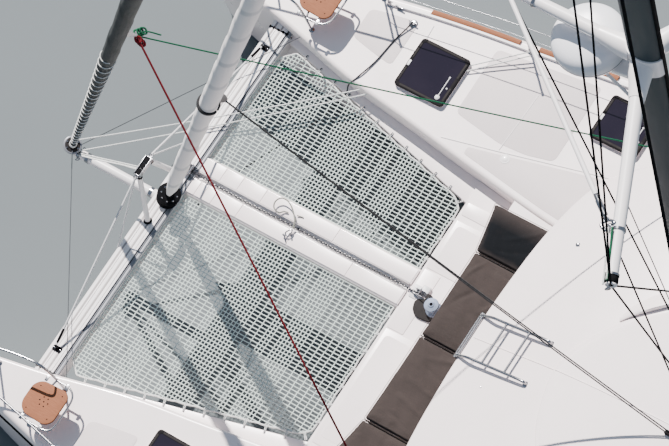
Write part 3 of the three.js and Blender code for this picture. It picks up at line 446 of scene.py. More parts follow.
FLOOR_PAINT = once("floor_paint", floor_paint)
GELCOAT = once("gelcoat", scuffed_gelcoat)
HULL_SKIN = once("hull_skin", streaked_gelcoat)
NONSKID = grip("nonskid", (0.86, 0.768, 0.752))
DECK_NONSKID = grip("deck_nonskid", (0.66, 0.585, 0.578))
ALLOY_WHITE = plain(
    "alloy_white", (0.84, 0.80, 0.79), 0.32, ((2.5, 5, (1, 0.35, 1)), 0.5, 0.8, (0.76, 0.72, 0.71)),
    ((7, 4), 0.25, 0.45), ((60, 2, (1, 0.1, 1)), 0.1, 0.001), coat=0.25,
)
MAST_PAINT = plain(
    "mast_paint", (0.022, 0.040, 0.046), 0.55, ((1.5, 5, (2, 2, 0.1)), 0.4, 0.8, (0.017, 0.030, 0.035)),
    ((9, 4, (1, 1, 0.2)), 0.5, 0.65), ((80, 2, (1, 1, 0.05)), 0.12, 0.001), shine=0.2,
)
GREY_ALLOY = plain(
    "grey_alloy", (0.22, 0.225, 0.245), 0.45, ((4, 5, (1, 0.3, 1)), 0.5, 0.8, (0.18, 0.19, 0.21)),
    ((12, 4), 0.28, 0.5), ((90, 2), 0.15, 0.001), metallic=0.3, shine=0.3,
)
DARK_ALLOY = plain(
    "dark_alloy", (0.010, 0.009, 0.010), 0.8, ((14, 5), 0.5, 0.8, (0.015, 0.014, 0.014)),
    ((30, 4), 0.75, 0.9), ((260, 2), 0.15, 0.0006), shine=0.08,
)
# Paint for the crossbeam's flutes: painted shade of their sloping faces
FLUTE_SHADE_PAINT = plain(
    "worn_alloy", (0.32, 0.29, 0.285), 0.5, ((4, 5, (1, 0.3, 1)), 0.5, 0.8, (0.40, 0.365, 0.36)),
    ((12, 4), 0.4, 0.6), ((90, 2), 0.15, 0.001), shine=0.3,
)
CHARCOAL = plain(
    "charcoal", (0.026, 0.0235, 0.023), 0.8, ((18, 5), 0.5, 0.8, (0.019, 0.0175, 0.0175)),
    ((30, 4), 0.75, 0.9), ((260, 2), 0.15, 0.0006), shine=0.08,
)
HOOK_PLASTIC = plain(
    "hook_plastic", (0.60, 0.59, 0.59), 0.4, ((25, 4), 0.5, 0.8, (0.50, 0.50, 0.50)),
    ((30, 4), 0.3, 0.5), ((300, 2), 0.1, 0.0006),
)
DOME_PLASTIC = plain(
    "dome_plastic", (0.80, 0.80, 0.83), 0.3, ((7, 5), 0.5, 0.85, (0.77, 0.765, 0.76)),
    ((14, 4), 0.25, 0.42), ((120, 2), 0.08, 0.0006), coat=0.3,
)
BRUSHED_STEEL = plain(
    "brushed_steel", (0.19, 0.225, 0.30), 0.5, ((30, 4, (1, 1, 6)), 0.5, 0.8, (0.11, 0.135, 0.18)),
    ((50, 4, (1, 1, 5)), 0.5, 0.7), ((200, 2, (1, 1, 6)), 0.2, 0.0006), metallic=0.3, shine=0.2,
)
STEEL = plain(
    "steel", (0.34, 0.34, 0.355), 0.2, ((22, 5), 0.6, 0.85, (0.24, 0.23, 0.225)),
    ((60, 3), 0.12, 0.3), ((400, 2), 0.08, 0.0005), metallic=1.0,
)
GALVANISED = plain(
    "galvanised", (0.060, 0.062, 0.070), 0.6, ((30, 5), 0.5, 0.8, (0.032, 0.031, 0.033)),
    ((80, 3), 0.45, 0.7), ((300, 3), 0.25, 0.0008), metallic=0.2, shine=0.2,
)
BLACK_PLASTIC = plain(
    "black_plastic", (0.004, 0.004, 0.005), 0.8, ((40, 4), 0.5, 0.85, (0.010, 0.010, 0.011)),
    ((30, 4), 0.75, 0.9), ((500, 2), 0.2, 0.0005), shine=0.08,
)
CAST_IRON = plain(
    "cast_iron", (0.20, 0.215, 0.22), 0.5, ((8, 5), 0.5, 0.8, (0.12, 0.13, 0.135)),
    grain=((120, 4), 0.4, 0.001), metallic=0.4,
)
BRONZE = plain(
    "bronze", (0.42, 0.27, 0.12), 0.3, ((12, 5), 0.5, 0.8, (0.25, 0.20, 0.12)), ((25, 4), 0.2, 0.45),
    metallic=1.0,
)
SMOKED_GLASS = plain(
    "smoked_glass", (0.011, 0.0085, 0.015), 0.05, ((3, 5), 0.45, 0.8, (0.014, 0.011, 0.018)),
    ((12, 5), 0.02, 0.06), shine=0.4, others=[("IOR", GLASS_IOR)],
)
TINTED_GLASS = plain(
    "tinted_glass", (0.10, 0.115, 0.125), 0.05, ((0.8, 3), 0.4, 0.8, (0.07, 0.08, 0.09)),
    ((9, 5), 0.03, 0.1), others=[("Transmission Weight", 0.75), ("IOR", GLASS_IOR)],
)
TEAK = wood("teak", (0, 0, math.radians(8)), 0)
TEAK_DECK = wood("teak_deck", (0, 0, 0), 0.05)
LAMINATE = wood("laminate", (0, 0, 0), 0)
WHITE_ROPE = rope("white_rope", (0.78, 0.79, 0.76), (0.66, 0.68, 0.66))
# The cords' pale green is painted light: the sea's green cast on white cord
NET_CORD = rope("net_cord", (0.80, 0.90, 0.84), (0.70, 0.80, 0.74))
RED_ROPE = rope("red_rope", (0.18, 0.002, 0.008), (0.07, 0.001, 0.004))
GREEN_ROPE = rope("green_rope", (0.002, 0.125, 0.052), (0.002, 0.06, 0.026))
GREY_ROPE = rope("grey_rope", (0.075, 0.082, 0.09), (0.03, 0.033, 0.036))
WORN_ROPE = rope("worn_rope", (0.30, 0.30, 0.26), (0.22, 0.22, 0.19))
DARK_ROPE = rope("dark_rope", (0.020, 0.020, 0.021), (0.05, 0.05, 0.052))
CUSHION_CLOTH = cloth("cushion_cloth", (0.036, 0.028, 0.0255), (0.046, 0.037, 0.034))
PAINTED_SHADE_CLOTH = once("cushion_cloth_dark", painted_shade_cloth)
SEAT_CLOTH = cloth("seat_cloth", (0.22, 0.21, 0.20), (0.26, 0.25, 0.24))
BAG_CLOTH = cloth("bag_cloth", (0.20, 0.205, 0.21), (0.24, 0.25, 0.255))
WHITE_SAIL = once("white_sail", white_sail)
DARK_SAIL = once("dark_sail", dark_sail)


# Mesh building

def unit(v):
    v = np.asarray(v, float)
    return v / max(np.linalg.norm(v), 1e-9)


def smooth_path(points, steps=8, closed=False):
    """Points along a centripetal curve through the given ones."""
    p = np.asarray(points, float)
    if closed:
        p = np.vstack([p[-1], p, p[0], p[1]])
    else:
        p = np.vstack([2 * p[0] - p[1], p, 2 * p[-1] - p[-2]])
    out = []
    for a, b, c, d in zip(p, p[1:], p[2:], p[3:]):
        t0, t1 = 0.0, max(np.linalg.norm(b - a), 1e-6) ** 0.5
        t2 = t1 + max(np.linalg.norm(c - b), 1e-6) ** 0.5
        t3 = t2 + max(np.linalg.norm(d - c), 1e-6) ** 0.5
        for t in np.linspace(t1, t2, steps, endpoint=False):
            a1 = (t1 - t) / (t1 - t0) * a + (t - t0) / (t1 - t0) * b
            a2 = (t2 - t) / (t2 - t1) * b + (t - t1) / (t2 - t1) * c
            a3 = (t3 - t) / (t3 - t2) * c + (t - t2) / (t3 - t2) * d
            b1 = (t2 - t) / (t2 - t0) * a1 + (t - t0) / (t2 - t0) * a2
            b2 = (t3 - t) / (t3 - t1) * a2 + (t - t1) / (t3 - t1) * a3
            out.append((t2 - t) / (t2 - t1) * b1 + (t - t1) / (t2 - t1) * b2)
    if not closed:
        out.append(p[-2])
    return np.array(out)


def rounded(corners, radius, steps=5):
    """A closed outline in two dimensions with each corner rounded."""
    p = np.asarray(corners, float)
    out = []
    for n, corner in enumerate(p):
        to_last, to_next = p[n - 1] - corner, p[(n + 1) % len(p)] - corner
        reach = min(radius, np.linalg.norm(to_last) * 0.49, np.linalg.norm(to_next) * 0.49)
        start, end = corner + unit(to_last) * reach, corner + unit(to_next) * reach
        for t in np.linspace(0, 1, steps + 1):
            out.append((1 - t) ** 2 * start + 2 * t * (1 - t) * corner + t ** 2 * end)
    return np.array(out)


def box_outline(x0, x1, y0, y1, radius, steps=5):
    return rounded([(x0, y0), (x1, y0), (x1, y1), (x0, y1)], radius, steps)


def frames_along(path, closed=False):
    """Two crosswise directions at each point of a path, without twist."""
    p = np.asarray(path, float)
    if closed:
        ahead = np.roll(p, -1, 0) - np.roll(p, 1, 0)
    else:
        ahead = np.gradient(p, axis=0)
    ahead /= np.maximum(np.linalg.norm(ahead, axis=1), 1e-9)[:, None]
    first = np.cross(ahead[0], (0.0, 0.0, 1.0))
    if np.linalg.norm(first) < 0.1:
        first = np.cross(ahead[0], (0.0, 1.0, 0.0))
    sides = [unit(first)]
    for direction in ahead[1:]:
        s = sides[-1] - direction * (sides[-1] @ direction)
        sides.append(unit(s))
    sides = np.array(sides)
    return sides, np.cross(ahead, sides)


class Shape:
    """Gathers mesh parts that become one piece."""

    def __init__(self):
        self.verts, self.faces, self.uvs = [], [], []

    def add(self, verts, faces, uvs=None):
        first = len(self.verts)
        self.verts.extend(map(tuple, verts))
        self.faces.extend(tuple(first + i for i in face) for face in faces)
        self.uvs.extend(uvs if uvs is not None else [None] * len(faces))
        return self

    def tube(self, path, radius, sides=8, closed=False):
        """A round bar along a path; radius is one number or one for each point."""
        p = np.asarray(path, float)
        across, over = frames_along(p, closed)
        radii = np.broadcast_to(np.asarray(radius, float), len(p))
        turns = np.linspace(0, 2 * math.pi, sides, endpoint=False)
        rings = [
            c + r * (np.cos(turns)[:, None] * s + np.sin(turns)[:, None] * o)
            for c, r, s, o in zip(p, radii, across, over)
        ]
        lengths = np.concatenate([[0], np.cumsum(np.linalg.norm(np.diff(p, axis=0), axis=1))])
        faces, uvs = [], []
        count = len(p)
        around = 2 * math.pi * float(np.max(radii)) / sides
        for i in range(count if closed else count - 1):
            j = (i + 1) % count
            u0, u1 = lengths[i], lengths[j] if j else lengths[i] + 0.01
            for k in range(sides):
                m = (k + 1) % sides
                faces.append((i * sides + k, i * sides + m, j * sides + m, j * sides + k))
                v0, v1 = k * around, (k + 1) * around
                uvs.append(((u0, v0), (u0, v1), (u1, v1), (u1, v0)))
        if not closed:
            faces += [tuple(range(sides))[::-1], tuple((count - 1) * sides + k for k in range(sides))]
            uvs += [None, None]
        return self.add(np.vstack(rings), faces, uvs)

    def bent(self, points, radius, sides=8, steps=8, closed=False):
        """A round bar along a smooth curve through the points."""
        return self.tube(smooth_path(points, steps, closed), radius, sides, closed)

    def rod(self, a, b, radius, sides=10, end=None):
        return self.tube([a, b], [radius, radius if end is None else end], sides)

    def turned(self, base, toward, rows, sides=24):
        """A turned form; each row is a distance along the axis and a radius."""
        a, axis = np.asarray(base, float), unit(np.asarray(toward, float) - np.asarray(base, float))
        p = [a + axis * d for d, _ in rows]
        s = np.cross(axis, (0.0, 0.0, 1.0))
        s = unit(s if np.linalg.norm(s) > 0.1 else np.cross(axis, (0.0, 1.0, 0.0)))
        o = np.cross(axis, s)
        turns = np.linspace(0, 2 * math.pi, sides, endpoint=False)
        ring = np.cos(turns)[:, None] * s + np.sin(turns)[:, None] * o
        verts = np.vstack([c + max(r, 1e-4) * ring for c, (_, r) in zip(p, rows)])
        faces, uvs = [], []
        for i in range(len(rows) - 1):
            for k in range(sides):
                m = (k + 1) % sides
                faces.append((i * sides + k, i * sides + m, (i + 1) * sides + m, (i + 1) * sides + k))
                u0, u1 = rows[i][0], rows[i + 1][0]
                v0, v1 = k / sides * 0.3, (k + 1) / sides * 0.3
                uvs.append(((u0, v0), (u0, v1), (u1, v1), (u1, v0)))
        faces += [tuple(range(sides))[::-1], tuple((len(rows) - 1) * sides + k for k in range(sides))]
        uvs += [None, None]
        return self.add(verts, faces, uvs)

    def upright(self, base, rows, sides=24):
        """A turned form that stands on its base."""
        x, y, z = base
        return self.turned(base, (x, y, z + 1), rows, sides)

    def slab(self, outline, rows, place=None, rings=1, centre=None):
        """A plate with a shaped edge. Each row is an inset from the outline and a height."""
        p = np.asarray(outline, float)
        if np.sum(p[:, 0] * np.roll(p[:, 1], -1) - p[:, 1] * np.roll(p[:, 0], -1)) < 0:
            p = p[::-1]
        tangent = np.roll(p, -1, 0) - np.roll(p, 1, 0)
        tangent /= np.maximum(np.linalg.norm(tangent, axis=1), 1e-9)[:, None]
        inward = np.stack([-tangent[:, 1], tangent[:, 0]], 1)
        place = place or (lambda u, v, h: (u, v, h))
        loops = [[(*(q + inset * n), h) for q, n in zip(p, inward)] for inset, h in rows]
        if rings > 1:
            middle = np.asarray(centre if centre is not None else p.mean(0), float)
            last = np.array([q[:2] for q in loops[-1]])
            for t in np.linspace(0, 1, rings + 1)[1:-1]:
                loops.append([(*(q + (middle - q) * t), rows[-1][1]) for q in last])
        count = len(p)
        verts = [place(*q) for loop in loops for q in loop]
        faces = [tuple(range(count))[::-1]]
        for i in range(len(loops) - 1):
            for k in range(count):
                m = (k + 1) % count
                faces.append((i * count + k, i * count + m, (i + 1) * count + m, (i + 1) * count + k))
        if rings > 1:
            verts.append(place(*middle, rows[-1][1]))
            last = (len(loops) - 1) * count
            faces += [(last + k, last + (k + 1) % count, len(verts) - 1) for k in range(count)]
        else:
            faces.append(tuple((len(loops) - 1) * count + k for k in range(count)))
        return self.add(verts, faces)

    def plate(self, outline, low, high, edge=0.004, place=None, rings=1, centre=None):
        """A flat plate with softly rounded edges."""
        edge = min(edge, (high - low) * 0.45)
        rows = [(edge, low), (0, low + edge)]
        rows += [
            (edge * (1 - math.cos(t)), high - edge + edge * math.sin(t))
            for t in np.linspace(0, math.pi / 2, 4)
        ]
        return self.slab(outline, rows, place, rings, centre)

    def block(self, low, high, edge=0.004):
        """A box with softened edges, square to the boat."""
        outline = box_outline(low[0], high[0], low[1], high[1], edge, 2)
        return self.plate(outline, low[2], high[2], edge)

    def skin(self, rows, closed=False):
        """A sheet over rows that hold the same number of points."""
        count = len(rows[0])
        faces = []
        for i in range(len(rows) - 1):
            for k in range(count if closed else count - 1):
                m = (k + 1) % count
                faces.append((i * count + k, i * count + m, (i + 1) * count + m, (i + 1) * count + k))
        return self.add([q for row in rows for q in row], faces)

    def loft(self, rows):
        """A closed form over closed sections."""
        self.skin(rows, True)
        first = len(self.verts) - len(rows) * len(rows[0])
        count = len(rows[0])
        last = first + (len(rows) - 1) * count
        self.faces.append(tuple(first + k for k in range(count))[::-1])
        self.faces.append(tuple(last + k for k in range(count)))
        self.uvs += [None, None]
        return self

    def mirrored(self):
        """The same shape on the other side of the centreline."""
        twin = Shape()
        twin.verts = [(x, -y, z) for x, y, z in self.verts]
        twin.faces = [face[::-1] for face in self.faces]
        twin.uvs = [uv[::-1] if uv else None for uv in self.uvs]
        return twin

    def make(self, name, paint, body="hulls", slot=None, replaces=(), angle=40, facing=True):
        mesh = bpy.data.meshes.new(name)
        mesh.from_pydata(self.verts, [], self.faces)
        if any(self.uvs):
            layer = mesh.uv_layers.new(name="length_and_girth")
            flat = []
            for face, uv in zip(self.faces, self.uvs):
                flat.extend(uv if uv else [(0.0, 0.0)] * len(face))
            layer.data.foreach_set("uv", np.array(flat, np.float32).ravel())
        made = bpy.data.objects.new(name, mesh)
        bpy.context.scene.collection.objects.link(made)
        if facing:
            face_out(mesh)
        soften(mesh, angle)
        return dress(made, paint, body, replaces)


def upright_at(y):
    """Places an outline in x and z, with its thickness across the boat from y."""
    def place(u, v, h):
        return u, y + h, v
    return place


def on_side(side, points):
    return [(x, side * y, z) for x, y, z in points]


def across(side, near, far):
    """Two distances off the centreline as y, the lower one first."""
    return sorted((side * near, side * far))


def face_out(mesh):
    bm = bmesh.new()
    bm.from_mesh(mesh)
    bmesh.ops.recalc_face_normals(bm, faces=bm.faces)
    bm.to_mesh(mesh)
    bm.free()


def soften(mesh, angle):
    """Smooth shading, with the edges sharper than the angle kept crisp."""
    bm = bmesh.new()
    bm.from_mesh(mesh)
    limit = math.radians(angle)
    for face in bm.faces:
        face.smooth = True
    for edge in bm.edges:
        edge.smooth = len(edge.link_faces) != 2 or edge.calc_face_angle(0) < limit
    bm.to_mesh(mesh)
    bm.free()


def dress(made, paint, body, replaces=()):
    made.data.materials.clear()
    made.data.materials.append(paint)
    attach(made, body)
    if replaces:
        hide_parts(*([replaces] if isinstance(replaces, str) else replaces))
    return made


def node_body(node):
    for body, nodes in frame["record"]["behaviour"]["bodies"].items():
        if node in nodes:
            return body


def refine(node, paint, bevel=0.0, angle=40):
    """The frame's own node with merged faces, softened edges and smooth shading."""
    mesh = frame["nodes"][node].data.copy()
    bm = bmesh.new()
    bm.from_mesh(mesh)
    bmesh.ops.remove_doubles(bm, verts=bm.verts, dist=2e-5)
    bmesh.ops.dissolve_limit(bm, angle_limit=math.radians(0.6), verts=bm.verts, edges=bm.edges)
    bm.to_mesh(mesh)
    bm.free()
    made = bpy.data.objects.new(f"{node}_finish", mesh)
    bpy.context.scene.collection.objects.link(made)
    soften(mesh, angle)
    if bevel:
        round_edges(made, bevel, angle)
    return dress(made, paint, node_body(node), node)


def round_edges(made, width, angle=40):
    modifier = made.modifiers.new("edges", "BEVEL")
    modifier.width = width
    modifier.segments = 2
    modifier.limit_method = "ANGLE"
    modifier.angle_limit = math.radians(angle)
    modifier.harden_normals = True


def applied(made):
    """Turns what the modifiers make into the piece's own mesh."""
    bpy.context.view_layer.update()
    graph = bpy.context.evaluated_depsgraph_get()
    mesh = bpy.data.meshes.new_from_object(made.evaluated_get(graph))
    made.modifiers.clear()
    made.data = mesh
    return made


def carve(made, boxes):
    """Cuts boxes, each a low and a high corner, out of a piece."""
    tools = Shape()
    for low, high in boxes:
        xs, ys, zs = zip(low, high)
        square = [(xs[0], ys[0]), (xs[1], ys[0]), (xs[1], ys[1]), (xs[0], ys[1])]
        corners = [(x, y, z) for z in zs for x, y in square]
        faces = [(0, 3, 2, 1), (4, 5, 6, 7), (0, 1, 5, 4), (1, 2, 6, 5), (2, 3, 7, 6), (3, 0, 4, 7)]
        tools.add(corners, faces)
    mesh = bpy.data.meshes.new("cutter")
    mesh.from_pydata(tools.verts, [], tools.faces)
    face_out(mesh)
    cutter = bpy.data.objects.new("cutter", mesh)
    bpy.context.scene.collection.objects.link(cutter)
    modifier = made.modifiers.new("cut", "BOOLEAN")
    modifier.operation = "DIFFERENCE"
    modifier.solver = "EXACT"
    modifier.object = cutter
    applied(made)
    bpy.data.objects.remove(cutter)
    return made


# Hulls

def station(x):
    """The table's columns at any x: keel z, middle y, half width, inner y, outer y."""
    xs = STATIONS[:, 0]
    last = len(xs) - 1
    i = int(np.clip(np.searchsorted(-xs, -x, side="right") - 1, 0, last - 1))
    rows = STATIONS[[max(i - 1, 0), i, i + 1, min(i + 2, last)]]
    span = rows[2, 0] - rows[1, 0]
    t = (x - rows[1, 0]) / span
    m1 = (rows[2] - rows[0]) / (rows[2, 0] - rows[0, 0]) * span
    m2 = (rows[3] - rows[1]) / (rows[3, 0] - rows[1, 0]) * span
    h = (2 * t**3 - 3 * t**2 + 1, t**3 - 2 * t**2 + t, -2 * t**3 + 3 * t**2, t**3 - t**2)
    return (h[0] * rows[1] + h[1] * m1 + h[2] * rows[2] + h[3] * m2)[1:]


def hull_section(x):
    """Points round one section of the port hull, from the keel up the outboard side."""
    keel, mid, half, inner, outer = station(x)
    edge = min(0.07, (outer - inner) / 5)
    chine_out = mid + half + (outer - mid - half) * 0.6
    chine_in = mid - half + (inner - mid + half) * 0.45
    bottom = smooth_path([
        (mid, keel), (mid + 0.62 * half, keel * 0.82), (mid + 0.92 * half, keel * 0.4), (mid + half, 0),
        (chine_out, 0.64), (outer, DECK_Z - 2 * edge),
    ], 4)
    turns = np.linspace(0, math.pi / 2, 7)[1:]
    gunwale = [
        (outer - edge + edge * math.cos(t), DECK_Z - 2 * edge + 2 * edge * math.sin(t)) for t in turns
    ]
    deck = [(outer - edge - 0.012, DECK_Z), (inner + 0.6 * edge + 0.012, DECK_Z)]
    if deck[0][0] <= deck[1][0]:
        deck = [((inner + outer) / 2, DECK_Z)] * 2
    turns = np.linspace(math.pi / 2, 0, 6)
    lip = [
        (inner + 0.6 * edge * (1 - math.cos(t)), DECK_Z - 0.6 * edge * (1 - math.sin(t))) for t in turns
    ]
    inside = smooth_path([
        (inner, UNDER_Z + 0.06), (chine_in, 0.56), (mid - half, 0), (mid - 0.92 * half, keel * 0.4),
        (mid - 0.62 * half, keel * 0.82), (mid, keel),
    ], 4)[:-1]
    return [(x, y, z) for y, z in [*bottom, *gunwale, *deck, *lip, *inside]]


def hull_side(x, z):
    """Half breadth of the port hull's outboard side at a height."""
    keel, mid, half, inner, outer = station(x)
    edge = min(0.07, (outer - inner) / 5)
    chine = mid + half + (outer - mid - half) * 0.6
    side = smooth_path([
        (mid + 0.92 * half, keel * 0.4), (mid + half, 0), (chine, 0.64), (outer, DECK_Z - 2 * edge),
    ], 8)
    return float(np.interp(z, side[:, 1], side[:, 0]))


def foil_section(z, fore, aft, half, y, count=14):
    """A closed leaf section of a keel or rudder at a height."""
    t = (1 - np.cos(np.linspace(0, math.pi, count))) / 2
    width = half * (2.9 * np.sqrt(t) - 1.2 * t - 1.64 * t**2) / 1.06
    width[-1] = half * 0.05
    upper = [(fore - (fore - aft) * a, y + w, z) for a, w in zip(t, width)]
    lower = [(fore - (fore - aft) * a, y - w, z) for a, w in zip(t, width)][::-1][:-1]
    return upper + lower


KEEL_ROWS = [
    (-0.50, 1.90, -1.50, 0.170), (-0.90, 1.78, -1.43, 0.165), (-1.26, 1.56, -1.30, 0.150),
    (-1.325, 1.46, -1.24, 0.120), (-1.35, 1.36, -1.17, 0.085),
]


def make_hull(side, name):
    xs = np.concatenate([np.linspace(7.25, 6.5, 9), np.linspace(6.4, -7.25, 70)])
    shape = Shape().loft([hull_section(x) for x in xs])
    if side < 0:
        shape = shape.mirrored()
    made = shape.make(f"hull_skin_{name}", HULL_SKIN(), slot="gelcoat", replaces=f"hull_{name}")
    cuts = []
    for x, length, y, width in HATCHES.values():
        ys = across(side, y + COAMING_WIDTH, y + width - COAMING_WIDTH)
        fore, aft = x - COAMING_WIDTH, x - length + COAMING_WIDTH
        cuts.append(((aft, ys[0], DECK_Z - 0.5), (fore, ys[1], DECK_Z + 0.1)))
    ys = across(side, *ENGINE_BAY[2:])
    cuts.append(((ENGINE_BAY[0], ys[0], 0.04), (ENGINE_BAY[1], ys[1], DECK_Z + 0.1)))
    carve(made, cuts)
    ys = across(side, 2.15, 3.69)
    for x, z in STERN_STEPS:
        carve(made, [((STERN_X - 0.1, ys[0], z), (x, ys[1], DECK_Z + 0.1))])
    soften(made.data, 32)
    keel = Shape().loft([foil_section(z, fore, aft, half, side * 2.945) for z, fore, aft, half in KEEL_ROWS])
    keel.rod((-6.15, side * 2.95, -0.25), (-6.15, side * 2.95, -0.47), 0.08, 24)
    keel.make(f"keel_skin_{name}", HULL_SKIN(), slot="gelcoat")
    hull_trim(side, name)


def hull_trim(side, name):
    """Ledge under the net, hatch coamings, side windows, rub rail and step treads."""
    shelf = Shape()
    near = 0.045 if side < 0 else 0.015
    outline = [
        (BEAM_X, 2.359 - near), (PLATFORM_X, 1.631 - near), (PLATFORM_X, 2.0), (3.9, 2.15), (4.8, 2.28),
        (BEAM_X, 2.48),
    ]
    shelf.plate([(x, side * y) for x, y in outline], NET_Z - 0.075, NET_Z + 0.005, 0.012)
    for x, length, y, width in HATCHES.values():
        ys = across(side, y, y + width)
        inset = COAMING_WIDTH
        ring = box_outline(x - length, x, *ys, 0.07, 8)
        hole = box_outline(x - length + inset, x - inset, ys[0] + inset, ys[1] - inset, 0.04, 8)
        top = DECK_Z + HATCH_COAMING
        lip = [np.array(a) * 0.985 + np.array(b) * 0.015 for a, b in zip(ring, hole)]
        rows = [(ring, DECK_Z - 0.01), (ring, top - 0.008), (lip, top), (hole, top), (hole, DECK_Z - 0.05)]
        shelf.skin([[(*q, z) for q in loop] for loop, z in rows], True)
    shelf.make(f"ledge_and_coamings_{name}", GELCOAT(), slot="gelcoat")

    glass = Shape()
    slant = 0.12
    for x0, x1, z0, z1 in HULL_WINDOWS:
        outline = rounded([(x0, z0), (x1 - slant, z0), (x1, z1), (x0 + slant, z1)], 0.09, 6)
        pairs = zip(outline, np.roll(outline, -1, 0))
        dense = np.vstack([np.linspace(a, b, 3, endpoint=False) for a, b in pairs])
        rows = [(0, -0.02), (0, 0.004), (0.004, 0.007)]
        glass.slab(dense, rows, lambda u, v, h: (u, side * (hull_side(u, v) + h), v), 6)
    glass.make(f"hull_windows_{name}", SMOKED_GLASS(), slot="smoked_glass")

    rail = Shape()
    path = [(x, side * (hull_side(x, 1.45) + 0.004), 1.45) for x in np.linspace(7.15, -5.7, 60)]
    rail.tube(path, 0.016, 8)
    rail.make(f"rub_rail_{name}", BLACK_PLASTIC(), slot="black")

    treads = Shape()
    edges = [x for x, _ in STERN_STEPS[1:]] + [STERN_X + 0.04]
    for (x, z), back in zip(STERN_STEPS, edges):
        ys = across(side, 2.25, 3.58)
        treads.plate(box_outline(back + 0.03, x - 0.03, *ys, 0.05), z, z + 0.008, 0.003)
    treads.make(f"stern_treads_{name}", TEAK_DECK(), slot="teak")


# Nets between the hulls

NET_CELL = 0.045
NET_FORE, NET_AFT = 5.738, 2.875
NET_SAG = 0.035
HOOK_PITCH = 0.232
NET_CORD_RADIUS = 0.0056
# Border stretches by number: the inner and the fore one are laced tight, the others are roped and hooked
ROPED_EDGES = (2, 3, 4, 5)
HOOKED_EDGES = (3, 4, 5)


def net_corners(side):
    """Corners of a net in order: aft inner, fore inner, fore outer, outer, aft outer, aft."""
    inner = LONGERON_Y + side * (LONGERON_HALF + 0.012)
    return np.array([
        (NET_AFT, inner), (NET_FORE, inner), (NET_FORE, side * 2.10), (5.58, side * 2.245),
        (3.00, side * 1.60), (NET_AFT, side * 1.49),
    ])


def net_border(side):
    """The border's points, the part of them that is roped, and each hook's place, outward way and edge."""
    corners = net_corners(side)
    scallop = 0.009
    path, roped, hooks = [], [], []
    for n, (a, b) in enumerate(zip(corners, np.roll(corners, -1, 0))):
        out = unit(np.array([b[1] - a[1], a[0] - b[0]]) * side)
        count = max(1, round(np.linalg.norm(b - a) / HOOK_PITCH))
        if n in HOOKED_EDGES:
            hooks += [(a + (b - a) * (k + 0.5) / count, out, n) for k in range(count)]
        for t in np.linspace(0, count, 8 * count, endpoint=False):
            slack = scallop * (1 - math.sin(math.pi * (t % 1))) if n in HOOKED_EDGES else 0
            point = a + (b - a) * t / count - out * slack
            path.append(point)
            if n in ROPED_EDGES:
                roped.append(point)
    roped.append(path[0])
    return np.array(path), np.array(roped), hooks


def net_height(x, y, side):
    corners = net_corners(side)
    u = np.clip((x - NET_AFT) / (NET_FORE - NET_AFT), 0, 1)
    outer = np.interp(x, [NET_AFT, 3.00, 5.58, NET_FORE], [1.49, 1.60, 2.245, 2.10])
    inner = corners[0][1] * side
    v = np.clip((y * side - inner) / (outer - inner), 0, 1)
    return NET_Z - NET_SAG * math.sin(math.pi * u) ** 0.7 * math.sin(math.pi * v) ** 0.7


def crossings(path, axis, value):
    """Where a closed path crosses a line of constant x or y: the span between the outer crossings."""
    a, b = path, np.roll(path, -1, 0)
    hit = (a[:, axis] - value) * (b[:, axis] - value) < 0
    t = (value - a[hit, axis]) / (b[hit, axis] - a[hit, axis])
    other = a[hit, 1 - axis] + t * (b[hit, 1 - axis] - a[hit, 1 - axis])
    return (other.min(), other.max()) if len(other) > 1 else None


def net_cords(shape, path, side, axis):
    low, high = path[:, axis].min(), path[:, axis].max()
    count = round((high - low) / NET_CELL)
    for n in range(1, count):
        value = low + (high - low) * n / count
        span = crossings(path, axis, value)
        if not span or span[1] - span[0] < 0.03:
            continue
        steps = max(2, round((span[1] - span[0]) / NET_CELL * 2))
        cord = []
        for i, other in enumerate(np.linspace(*span, steps + 1)):
            x, y = (value, other) if axis == 0 else (other, value)
            sway = noise.noise_vector((x * 2.3, y * 2.3, 4.0 + axis))
            lift = 0.002 * (1 if (i // 2 + n + axis) % 2 else -1)
            cord.append((x + sway[0] * 0.007, y + sway[1] * 0.007, net_height(x, y, side) + lift))
        shape.tube(cord, NET_CORD_RADIUS, 4)


def net_knots(shape, path, side):
    low, high = path[:, 1].min(), path[:, 1].max()
    count_x = round((path[:, 0].max() - path[:, 0].min()) / NET_CELL)
    count_y = round((high - low) / NET_CELL)
    first_x, last_x = path[:, 0].min(), path[:, 0].max()
    faces = [(0, 1, 4), (1, 2, 4), (2, 3, 4), (3, 0, 4), (1, 0, 5), (2, 1, 5), (3, 2, 5), (0, 3, 5)]
    for i in range(1, count_x):
        x = first_x + (last_x - first_x) * i / count_x
        span = crossings(path, 0, x)
        for j in range(1, count_y):
            y = low + (high - low) * j / count_y
            if not span or not span[0] < y < span[1]:
                continue
            sway = noise.noise_vector((x * 2.3, y * 2.3, 4.0))
            c = np.array((x + sway[0] * 0.007, y + sway[1] * 0.007, net_height(x, y, side)))
            r, h = NET_CORD_RADIUS * 1.5, NET_CORD_RADIUS * 1.25
            arms = [(r, 0, 0), (0, r, 0), (-r, 0, 0), (0, -r, 0), (0, 0, h), (0, 0, -h)]
            shape.add([c + a for a in np.array(arms)], faces)


